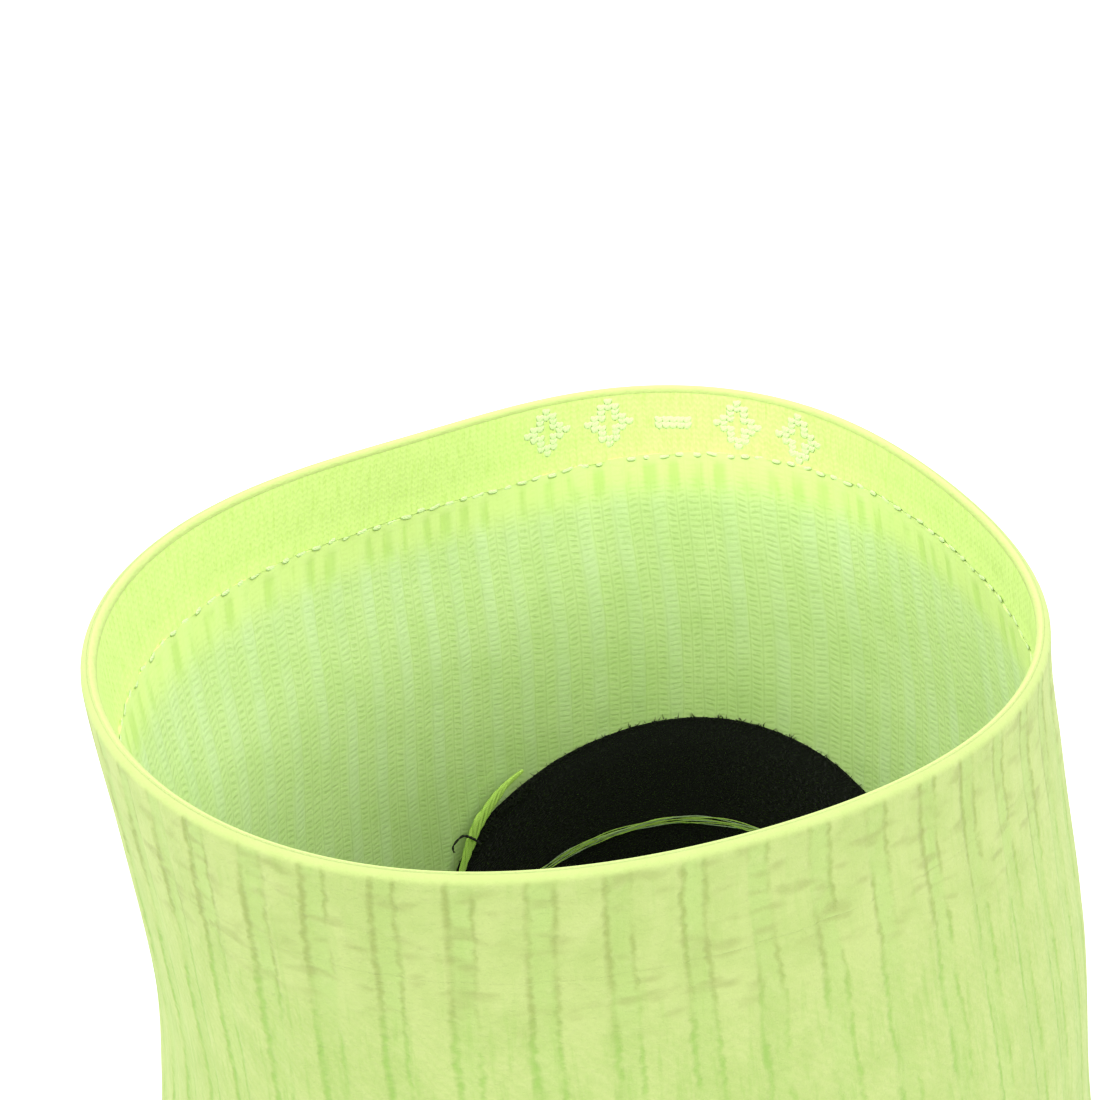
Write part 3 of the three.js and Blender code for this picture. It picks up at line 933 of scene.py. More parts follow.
    def above(self, edge: Edge, points: np.ndarray) -> np.ndarray:
        """Return how far points lie on the leg's side of a side-view line.

        Args:
            edge: Which line.
            points: Points of the surface.

        Returns:
            A signed distance, roughly in millimetres.
        """
        x, y, z = points[..., 0], points[..., 1], points[..., 2]
        if edge is Edge.PATCH:
            share = np.clip((z - self.patch_top + 28) / 14, 0, 1)
            share = share * share * (3 - 2 * share)
            return z - share * self.patch_tilt * x - np.interp(y, self.patch[:, 0], self.patch[:, 1])
        if edge in (Edge.ACCENT_TOP, Edge.ACCENT_LOW):
            line = self.accent_height + (y - self.heel_back) * self.accent_slope
            shift = self.accent_width / 2 * (1 if edge is Edge.ACCENT_TOP else -1)
            return z - self.patch_tilt * x - line - shift
        if edge is Edge.GORE:
            front = self.patch_side - 12
            return z - np.interp(y, [front - 40, front, self.heel_back + 20], self.gore_heights)
        return y - (self.along_foot(0.31) + (40 - z) / 46 * 0.06 * self.foot_length)

    def crossing(self, edge: Edge, angle: np.ndarray, shift: float = 0.0) -> np.ndarray:
        """Return where each column crosses an edge.

        Args:
            edge: The edge.
            angle: The columns' angles.
            shift: Millimetres that the edge is moved towards the leg.

        Returns:
            Station places, or far past the toe where a column never crosses.
        """
        fixed = {Edge.ARCH: self.arch_start, Edge.FOREFOOT: self.forefoot_start, Edge.TOE: self.toe_start}
        if edge in fixed:
            return np.full(np.shape(angle), fixed[edge] - shift / 14)
        places = np.linspace(1.2, self.last, 240)
        grid_place, grid_angle = np.meshgrid(places, angle, indexing="ij")
        side = self.above(edge, self.surface(grid_place, grid_angle)) - shift
        below = side < 0
        first = below.argmax(0)
        columns = np.arange(len(angle))
        before = np.maximum(first - 1, 0)
        high, low = side[before, columns], side[first, columns]
        share = np.clip(high / np.where(high - low == 0, 1, high - low), 0, 1)
        found = places[before] + (places[first] - places[before]) * share
        return np.where(below.any(0), np.where(first == 0, places[0], found), 99.0)

    def run(self, place: np.ndarray, angle: np.ndarray) -> np.ndarray:
        """Return each point's distance down its column from the rim, in courses.

        Args:
            place: Rows by columns of station places.
            angle: The same of angles, one to a column.

        Returns:
            Courses from the rim.
        """
        places = np.linspace(0, self.last, 160)
        result = np.empty_like(place)
        for column in range(place.shape[1]):
            points = self.surface(places, np.full_like(places, angle[0, column]))
            result[:, column] = np.interp(place[:, column], places, lengths_along(points))
        return result / self.course

    def wale(self, angle: np.ndarray) -> np.ndarray:
        """Return which wale an angle lies on. The slack cloth spreads its ribs unevenly round the leg.

        Args:
            angle: Angles in radians, 0 at the back of the leg.

        Returns:
            Wale numbers, which go on counting past a full turn.
        """
        stops, wales = np.array(self.rib_stops).T
        degrees = np.degrees(angle)
        turns = np.floor((degrees - stops[0]) / 360)
        return np.interp(degrees - 360 * turns, stops, wales) + self.wales * turns

    def relief(self, angle: np.ndarray, height: float, sway: np.ndarray | float = 0.0) -> np.ndarray:
        """Return how far the rib stands out, 0 on a rib and -height in the sunk wale.

        Args:
            angle: Angles in radians, 0 at the back of the leg.
            height: Depth of the sunk wale, in millimetres.
            sway: How many wales the ribs have swung aside.

        Returns:
            The relief, in millimetres.
        """
        wale = (self.wale(angle) - sway) % 3
        off = np.abs(wale - 2.5)
        sunk = np.clip((0.95 - off) / 0.7, 0, 1)
        return -height * sunk * sunk * (3 - 2 * sunk)


# ---- making meshes ------------------------------------------------------------------------------


class Bench:
    """The moves that make a mesh: sheets, strands and repeated stitches."""

    @staticmethod
    def clear() -> None:
        """Deselect everything."""
        if bpy.context.object and bpy.context.object.mode != "OBJECT":
            bpy.ops.object.mode_set(mode="OBJECT")
        bpy.ops.object.select_all(action="DESELECT")

    @classmethod
    def pick(cls, piece: bpy.types.Object) -> None:
        """Make a piece the only selected one, and active.

        Args:
            piece: The piece.
        """
        cls.clear()
        piece.select_set(True)
        bpy.context.view_layer.objects.active = piece

    @classmethod
    def sheet(cls, name: str, points: np.ndarray, uv: np.ndarray, merge: bool = True) -> bpy.types.Object:
        """Shape a grid into a curved sheet.

        Args:
            name: The piece's name.
            points: Rows by columns of points, in millimetres.
            uv: The same of wales and courses.
            merge: Whether points that meet become one.

        Returns:
            The sheet.
        """
        rows, columns = points.shape[:2]
        cls.clear()
        bpy.ops.mesh.primitive_grid_add(x_subdivisions=columns - 1, y_subdivisions=rows - 1, size=0.1, calc_uvs=True)
        piece = bpy.context.object
        piece.name = piece.data.name = name
        piece.data.vertices.foreach_set("co", (points * MM).reshape(-1).astype(np.float32))
        corners = np.empty(len(piece.data.loops), np.int32)
        piece.data.loops.foreach_get("vertex_index", corners)
        piece.data.uv_layers[0].uv.foreach_set("vector", uv.reshape(-1, 2)[corners].reshape(-1).astype(np.float32))
        piece.data.update()
        if merge:
            cls.merge(piece)
        return piece

    @classmethod
    def merge(cls, piece: bpy.types.Object, distance: float = 2e-6) -> None:
        """Merge a piece's doubled points, and drop faces with no area.

        Args:
            piece: The piece.
            distance: How close doubled points lie, in metres.
        """
        cls.pick(piece)
        bpy.ops.object.mode_set(mode="EDIT")
        bpy.ops.mesh.select_all(action="SELECT")
        bpy.ops.mesh.remove_doubles(threshold=distance)
        bpy.ops.mesh.dissolve_degenerate(threshold=1e-6)
        bpy.ops.object.mode_set(mode="OBJECT")

    @classmethod
    def thicken(
        cls,
        piece: bpy.types.Object,
        thickness: float,
        materials: Sequence[bpy.types.Material],
        shares: np.ndarray | None = None,
    ) -> None:
        """Give a sheet its wall.

        Args:
            piece: The sheet, not merged yet if it has shares.
            thickness: The wall, in millimetres.
            materials: The outside's finish, then the inside's.
            shares: The wall's share of that thickness at each point of the grid.
        """
        if shares is not None:
            group = piece.vertex_groups.new(name="wall")
            for value in np.unique(shares):
                group.add(np.flatnonzero(shares.reshape(-1) == value).tolist(), float(value), "REPLACE")
            cls.merge(piece)
        for material in materials:
            piece.data.materials.append(material)
        cls.pick(piece)
        wall = piece.modifiers.new("wall", "SOLIDIFY")
        wall.thickness = thickness * MM
        wall.offset = -1
        wall.use_even_offset = False
        wall.use_rim = True
        wall.material_offset = len(materials) - 1
        wall.material_offset_rim = len(materials) - 1
        if shares is not None:
            wall.vertex_group = "wall"
        bpy.ops.object.modifier_apply(modifier=wall.name)

    @classmethod
    def smooth(cls, piece: bpy.types.Object, degrees: float = 50.0) -> None:
        """Shade a piece smooth, but for its sharp edges.

        Args:
            piece: The piece.
            degrees: The bend past which an edge stays sharp.
        """
        cls.pick(piece)
        bpy.ops.object.shade_smooth_by_angle(angle=math.radians(degrees))

    @classmethod
    def strand(cls, name: str, path: np.ndarray, radius: np.ndarray, around: int = 6) -> bpy.types.Object:
        """Sweep a round yarn along a path, with closed tips.

        Args:
            name: The piece's name.
            path: The points it follows, in millimetres.
            radius: Its radius at each point, in millimetres.
            around: Faces round it.

        Returns:
            The yarn.
        """
        tangent = unit(np.gradient(path, axis=0))
        side = np.cross(tangent[0], (0.0, 0.0, 1.0) if abs(tangent[0][2]) < 0.9 else (1.0, 0.0, 0.0))
        sides = []
        for run in tangent:
            side = unit(side - run * side.dot(run))
            sides.append(side)
        sides = np.array(sides)
        ups = np.cross(sides, tangent)
        radius = np.array(radius, float) * np.ones(len(path))
        radius[[0, -1]] = 0
        turn = np.linspace(0, 2 * math.pi, around + 1)
        points = (
            path[:, None]
            + sides[:, None] * (radius[:, None] * np.cos(turn))[..., None]
            + ups[:, None] * (radius[:, None] * np.sin(turn))[..., None]
        )
        uv = np.stack(np.broadcast_arrays(turn / (2 * math.pi), lengths_along(path)[:, None]), -1)
        return cls.sheet(name, points[:, ::-1], uv[:, ::-1])

    @classmethod
    def copies(cls, name: str, models: Sequence[bpy.types.Object], places: Sequence[Matrix]) -> bpy.types.Object:
        """Copy modelled stitches to many places and join them into one piece.

        Args:
            name: The piece's name.
            models: The stitches, used in turn. They are removed afterwards.
            places: Where each copy goes, in metres.

        Returns:
            The joined piece.
        """
        made = []
        for index, place in enumerate(places):
            copy = models[index % len(models)].copy()
            copy.data = copy.data.copy()
            copy.data.transform(place)
            bpy.context.scene.collection.objects.link(copy)
            made.append(copy)
        for model in models:
            bpy.data.objects.remove(model)
        return cls.join(name, made)

    @classmethod
    def join(cls, name: str, pieces: Sequence[bpy.types.Object]) -> bpy.types.Object:
        """Join pieces into one of this name.

        Args:
            name: The joined piece's name.
            pieces: The pieces.

        Returns:
            The joined piece.
        """
        cls.pick(pieces[0])
        for piece in pieces:
            piece.select_set(True)
        if len(pieces) > 1:
            bpy.ops.object.join()
        joined = bpy.context.object
        joined.name = joined.data.name = name
        return joined

    @staticmethod
    def place(
        piece: bpy.types.Object, slot: str, nodes: Sequence[str], material: bpy.types.Material | None = None
    ) -> bpy.types.Object:
        """Finish a piece: its material, its body, and hiding the CAD parts that it replaces.

        Args:
            piece: The piece.
            slot: Not used.
            nodes: The CAD nodes that it replaces.
            material: Its finish, if it has none yet.

        Returns:
            The piece.
        """
        if material:
            piece.data.materials.clear()
            piece.data.materials.append(material)
        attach(piece, "root")
        if nodes:
            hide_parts(*nodes)
        log.info("%s: %d faces", piece.name, len(piece.data.polygons))
        return piece


def frame_at(origin: np.ndarray, across: np.ndarray, up: np.ndarray, scale: Sequence[float] = (1, 1, 1)) -> Matrix:
    """Return a matrix that sets a stitch at a point.

    Args:
        origin: The point, in millimetres.
        across: The stitch's own x direction.
        up: Its z direction, out of the cloth.
        scale: Its size along each of its own axes.

    Returns:
        The matrix, in metres.
    """
    z = Vector(up).normalized()
    x = Vector(across)
    x = (x - z * x.dot(z)).normalized()
    y = z.cross(x)
    turn = Matrix((x, y, z)).transposed().to_4x4()
    return Matrix.Translation(Vector(origin) * MM) @ turn @ Matrix.Diagonal((*scale, 1))


# ---- the sub-assemblies -------------------------------------------------------------------------


@dataclass
class Leg:
    """The ribbed leg with its turned cuff, elastic yarns, facing and closing stitch."""

    form: SockForm
    columns_per_rib: int = 8
    rib_relief: float = 0.13
    rows_down: int = 74
    fold_end: float = 0.62
    facing_top: float = 0.64
    elastic_width: float = 0.34
    chain_loops: int = 126
    chain_lift: float = 0.08
    chain_seed: int = 4
    mark_pitch: float = 11.2
    mark_centre: float = 0.5
    mark_drop: float = 3.55
    mark_wale: float = 1.22
    mark_course: float = 0.57
    mark_seed: int = 9

    def angles(self, per_rib: int) -> np.ndarray:
        """Return column angles all round, so many to a rib.

        Args:
            per_rib: Columns to a rib.

        Returns:
            A full turn of angles, in radians.
        """
        f = self.form
        stops, wales = np.array(f.rib_stops).T
        return np.radians(np.interp(np.linspace(wales[0], wales[-1], f.wales // 3 * per_rib + 1), wales, stops))

    @staticmethod
    def sway(angle: np.ndarray, drop: np.ndarray) -> np.ndarray:
        """Return how many wales the ribs have swung aside, down the front of the leg."""
        return 0.05 * np.maximum(-np.cos(angle), 0) * np.minimum(drop, 60)

    def ribbed_leg(self, outside: bpy.types.Material, inside: bpy.types.Material) -> bpy.types.Object:
        """Build the leg and the cuff's outer layer, which turn over the rim as one sheet.

        Args:
            outside: The outside's finish.
            inside: The inside's finish.

        Returns:
            The leg.
        """
        f = self.form
        angles = self.angles(self.columns_per_rib)
        half = f.cuff_thickness / 2
        fold = [(f.cuff_thickness, self.fold_end)]
        for phi in np.radians([12, 26, 42, 62, 80, 100, 118, 138, 156, 172]):
            fold.append((half + half * math.cos(phi), f.fold_height - f.fold_height * math.sin(phi)))
        stitch = f.stitch_drop(angles)
        rows = [0.85 + (stitch - 0.85) * share for share in np.linspace(0, 1, 10) ** 1.2]
        depth = np.array([p[0] for p in fold] + [0.0] * len(rows))[:, None] * np.ones_like(angles)
        drop = np.array([p[1] * np.ones_like(angles) for p in fold] + rows)
        grid = np.ones_like(drop) * angles
        grow = np.clip((drop - 0.3) / 2.2, 0, 1) * (depth < 0.01)
        sway = self.sway(grid, drop)
        relief = f.relief(grid, self.rib_relief, sway) * grow
        top = f.cuff(drop, grid, depth - relief)
        # Down the leg, every column runs to the patch's edge or to the arch.
        start = f.below_rim(stitch + 0.04)
        end = np.minimum(f.crossing(Edge.PATCH, angles, 0.05), f.arch_start - 0.004)
        share = np.linspace(0, 1, self.rows_down)[:, None]
        place = start + (end - start) * share
        grid_low = np.ones_like(place) * angles
        fade = np.clip((end - place) / 0.25, 0.25, 1)
        drop_low = place * (f.rim_height - f.stations[1, 1])
        sway_low = self.sway(grid_low, drop_low)
        relief_low = f.relief(grid_low, self.rib_relief, sway_low) * fade
        low = f.levelled(f.wall(place, grid_low, -relief_low), drop_low)
        points = np.concatenate([top, low])
        wales = f.wale(np.concatenate([grid, grid_low])) - np.concatenate([sway, sway_low])
        runs = np.concatenate([drop / f.course, f.run(place, grid_low)]) - stitch / f.course
        runs[: len(fold)][depth[: len(fold)] > half] -= 40
        piece = Bench.sheet("ribbed_leg", points, np.stack([wales, runs], -1), merge=False)
        shares = np.ones_like(runs)
        shares[: len(drop)] = f.cuff_layer / f.rib_wall
        Bench.thicken(piece, f.rib_wall, (outside, inside), shares)
        Bench.smooth(piece)
        return Bench.place(piece, "neon_rib_knit", ["leg_rib_tube", "cuff_outer_layer"])

    def face(self, drop: np.ndarray, angle: np.ndarray) -> np.ndarray:
        """Return how deep the facing's own inner face lies, gently rippled towards the closing stitch.

        Args:
            drop: Millimetres below the rim.
            angle: Angles in radians, 0 at the back of the leg.

        Returns:
            Millimetres below the outer surface.
        """
        f = self.form
        bottom = f.stitch_drop(angle) + 0.02
        share = (drop - self.facing_top) / (bottom - self.facing_top)
        ripple = (0.05 * np.sin(angle * 61 + drop * 0.4) + 0.07 * np.sin(angle * 23 + 1.0)) * share
        return f.cuff_thickness + ripple + 0.12 * np.clip((drop - bottom) / 1.6 + 1, 0, 1)

    def facing(self, material: bpy.types.Material) -> bpy.types.Object:
        """Build the cuff's inner layer, from the fold down to the closing stitch.

        Args:
            material: Its finish.

        Returns:
            The facing.
        """
        f = self.form
        angles = self.angles(6)
        bottom = f.stitch_drop(angles) + 0.02
        share = np.linspace(1, 0, 14)[:, None]
        drop = self.facing_top + (bottom - self.facing_top) * share
        grid = np.ones_like(drop) * angles
        points = f.cuff(drop, grid, self.face(drop, grid))
        uv = np.stack([f.wale(grid), drop / f.course], -1)
        piece = Bench.sheet("cuff_facing", points, uv)
        Bench.thicken(piece, f.cuff_layer, (material,))
        Bench.smooth(piece)
        return Bench.place(piece, "neon_plain_knit", ["cuff_inner_layer"])

    def elastics(self, material: bpy.types.Material) -> None:
        """Build the three covered elastic yarns that lie between the cuff's layers.

        Args:
            material: Its finish.
        """
        f = self.form
        radius = self.elastic_width / 2
        depth = f.cuff_thickness / 2
        for order, share in enumerate((0.2, 0.48, 0.76)):
            angle = np.linspace(-math.pi, math.pi, 241)
            drop = np.full_like(angle, share * f.cuff_depth + radius)
            drop = np.minimum(drop, f.stitch_drop(angle) - 0.6)
            path = f.cuff(drop, angle, depth)
            turn = np.linspace(0, 2 * math.pi, 9)
            along = np.roll(path[:-1], -1, 0) - np.roll(path[:-1], 1, 0)
            along = unit(np.concatenate([along, along[:1]]))
            up = np.array([0.0, 0.0, 1.0])
            side = np.cross(along, up)
            wrap = radius * (0.9 + 0.1 * np.sin(60 * angle)[:, None] * np.cos(turn))
            out, over = (wrap * np.cos(turn))[..., None], (wrap * np.sin(turn))[..., None]
            points = path[:, None] + side[:, None] * out + up * over
            uv = np.stack(np.broadcast_arrays(turn / (2 * math.pi), angle[:, None] * 40), -1)
            piece = Bench.sheet(f"covered_elastic_{order + 1}", points[:, ::-1], uv[:, ::-1])
            Bench.smooth(piece, ROUND)
            Bench.place(piece, "covered_elastic", [f"cuff_elastic_{order + 1}"], material)

    def closing_stitch(self, material: bpy.types.Material) -> bpy.types.Object:
        """Build the pale chain that closes the cuff: one small loop, copied round.

        Args:
            material: Its finish.

        Returns:
            The chain.
        """
        f = self.form
        models = []
        for length, width in ((0.66, 0.27), (0.5, 0.3), (0.75, 0.24)):
            bend = np.linspace(-1, 1, 7)
            path = np.stack([bend * length, 0.1 * bend * bend, 0.12 * (1 - bend * bend)], -1)
            models.append(Bench.strand("chain_loop", path, width * (1.05 - 0.5 * bend**4)))
            Bench.smooth(models[-1], ROUND)
        rng = np.random.default_rng(self.chain_seed)
        depth = f.rib_wall + self.chain_lift
        places = []
        for order in range(self.chain_loops):
            angle = np.array([(order + 0.5) / self.chain_loops * 2 * math.pi - math.pi])
            drop = f.stitch_drop(angle) + 0.1 + rng.normal(0, 0.08, 1)
            centre, step, inward = f.seat(drop, angle, depth)
            across = step + np.array([0, 0, rng.normal(0.0, 0.16) * np.linalg.norm(step)])
            size = rng.uniform(0.8, 1.12)
            places.append(frame_at(centre, across, inward, (size, 0.85, 0.16)))
        piece = Bench.copies("closing_chain", models, places)
        return Bench.place(piece, "pale_yarn", ["cuff_closing_stitch"], material)

    def marks(self, material: bpy.types.Material) -> None:
        """Build the row of plain knitted lozenges with a bar in its middle, stitch by stitch.

        Args:
            material: Its finish.
        """
        f = self.form
        wale = math.radians(self.mark_wale)
        bar = [(i, j) for i in range(-2, 3) for j in (0, 1)]
        lozenge = [(i, j) for j in range(-4, 5) for i in range(-3, 4) if 0.48 < abs(i) / 3.2 + abs(j) / 4.4 < 1.06]
        rng = np.random.default_rng(self.mark_seed)
        for order in range(-2, 3):
            models = []
            for lean in (-1, 1):
                bend = np.linspace(-1, 1, 5)
                path = np.stack([lean * 0.1 * bend, bend * 0.3, 0.04 * (1 - bend * bend)], -1)
                models.append(Bench.strand("mark_leg", path, 0.17 * (1.0 - 0.35 * bend**4)))
                Bench.smooth(models[-1], ROUND)
            places = []
            for i, j in lozenge if order else bar:
                for lean in (-1, 1):
                    middle = math.radians(order * self.mark_pitch + self.mark_centre)
                    angle = np.array([middle + i * wale + lean * 0.0042])
                    drop = np.array([self.mark_drop + j * self.mark_course + rng.normal(0, 0.03)])
                    seat = f.seat(drop, angle, self.face(drop, angle) - 0.008)
                    places.append(frame_at(*seat, (1.9, 1.5, 0.2)))
            piece = Bench.copies(f"knitted_lozenge_{order + 3}", models, places)
            Bench.place(piece, "pale_yarn", [f"knitted_mark_{order + 3}"], material)


@dataclass
class Zone:
    """One knitted zone of the foot: what bounds it along each column, and its wall."""

    name: str
    top: Sequence[Edge]
    bottom: Sequence[Edge]
    wall: float
    slot: str
    node: str
    rows: int
    relief: float = 0.0
    gap: float = 0.03


@dataclass
class Foot:
    """The zones below the leg, each a sheet cut to its edges."""

    form: SockForm
    ribs: int = 56
    columns_per_rib: int = 7
    plain_columns: int = 4

    def spans(self, zone: Zone, angles: np.ndarray) -> tuple[np.ndarray, np.ndarray]:
        """Return where each column of a zone starts and ends.

        Args:
            zone: The zone.
            angles: The columns' angles, in radians.

        Returns:
            The first and the last station place of each column.
        """
        f = self.form
        top = np.max([f.crossing(edge, angles, -zone.gap) for edge in zone.top], 0)
        bottom = np.min([f.crossing(edge, angles, zone.gap) for edge in zone.bottom], 0)
        return top, bottom

    def reach(self, zone: Zone) -> tuple[float, float]:
        """Return the first and last angle at which a zone has width.

        Args:
            zone: The zone.

        Returns:
            The two angles, in radians.
        """
        centre = math.pi if zone.slot in ("neon_rib_knit", "arch_rib_knit") else 0.0
        angles = centre + np.radians(np.linspace(-170, 170, 681))
        top, bottom = self.spans(zone, angles)
        wide = bottom - top > 0.012
        middle = len(angles) // 2
        if not wide[middle]:
            middle = int(np.flatnonzero(wide)[len(np.flatnonzero(wide)) // 2])
        low, high = middle, middle
        while low > 0 and wide[low - 1]:
            low -= 1
        while high < len(angles) - 1 and wide[high + 1]:
            high += 1
        return angles[low], angles[high]

    def panel(self, zone: Zone, outside: bpy.types.Material, inside: bpy.types.Material) -> bpy.types.Object:
        """Build one zone.

        Args:
            zone: The zone.
            outside: The outside's finish.
            inside: The inside's finish.

        Returns:
            The panel.
        """
        f = self.form
        low, high = self.reach(zone)
        ribbed = zone.relief > 0
        step = math.radians(360 / self.ribs / (self.columns_per_rib if ribbed else self.plain_columns))
        columns = max(12, int((high - low) / step))
        angles = np.linspace(low, high, columns + 1)
        top, bottom = self.spans(zone, angles)
        share = np.linspace(0, 1, zone.rows + 1)[:, None]
        place = top + (bottom - top) * share
        grid = np.ones_like(place) * angles
        relief = f.relief(grid, zone.relief) if ribbed else 0 * grid
        points = f.wall(place, grid, -relief)
        uv = np.stack([f.wale(grid), f.run(place, grid)], -1)
        piece = Bench.sheet(zone.name, points, uv, merge=False)
        shares = np.ones_like(place)
        if Edge.PATCH in zone.top:
            shares = 0.6 + 0.4 * np.clip(-f.above(Edge.PATCH, f.surface(place, grid)) / 3.0, 0, 1)
        Bench.thicken(piece, zone.wall, (outside, inside), np.round(shares, 2))
        Bench.smooth(piece)
        return Bench.place(piece, zone.slot, [zone.node])

    def toe(self, outside: bpy.types.Material, inside: bpy.types.Material) -> bpy.types.Object:
        """Build the toe cap, a cup whose end closes in a soft point.

        Args:
            outside: The outside's finish.
            inside: The inside's finish.

        Returns:
            The toe cap.
        """
        f = self.form
        angles = np.linspace(-math.pi, math.pi, 193)
        places = np.concatenate([np.linspace(f.toe_start + 0.004, 17, 26), np.linspace(17.1, 18, 10)])
        place = np.ones_like(angles) * places[:, None]
        grid = np.ones_like(place) * angles
        points = f.wall(place, grid, 0.0)
        ring = points[-1]
        middle = ring.mean(0)
        cap = []
        for turn in np.radians([25, 50, 70, 90]):
            row = middle + (ring - middle) * math.cos(turn)
            row[:, 1] -= 1.1 * math.sin(turn)
            cap.append(row)
        points = np.concatenate([points, np.array(cap)])
        runs = np.concatenate([f.run(place, grid), f.run(place[-1:], grid[-1:]) + np.arange(1, 5)[:, None]])
        wales = np.ones_like(runs) * f.wale(angles)
        piece = Bench.sheet("toe_cap_terry", points, np.stack([wales, runs], -1), merge=False)
        shares = np.clip((17.6 - np.concatenate([places, [18] * 4])) / 1.6, 0.12, 1)[:, None]
        Bench.thicken(piece, f.pad_wall, (outside, inside), shares * np.ones_like(angles))
        Bench.smooth(piece)
        return Bench.place(piece, "black_terry_knit", ["toe_cap"])

    def toe_seam(self, material: bpy.types.Material) -> bpy.types.Object:
        """Build the linked seam over the toes: two yarns wound into a ridge.

        Args:
            material: Its finish.

        Returns:
            The seam.
        """
        f = self.form
        angle = np.radians(np.linspace(100, 260, 260))
        strands = []
        for phase in (0, math.pi):
            turn = angle * 62 + phase
            place = f.toe_start - 0.01 + 0.012 * np.cos(turn)
            depth = -(f.seam + 0.24 + 0.16 * np.sin(turn))
            path = f.wall(place, angle, depth)
            path[:, 2] = np.maximum(path[:, 2], 0.4)
            strands.append(Bench.strand("seam_ply", path, np.full(len(angle), 0.26)))
        piece = Bench.join("toe_linked_seam", strands)
        Bench.smooth(piece, ROUND)
        return Bench.place(piece, "black_terry_knit", ["toe_linking_seam"], material)


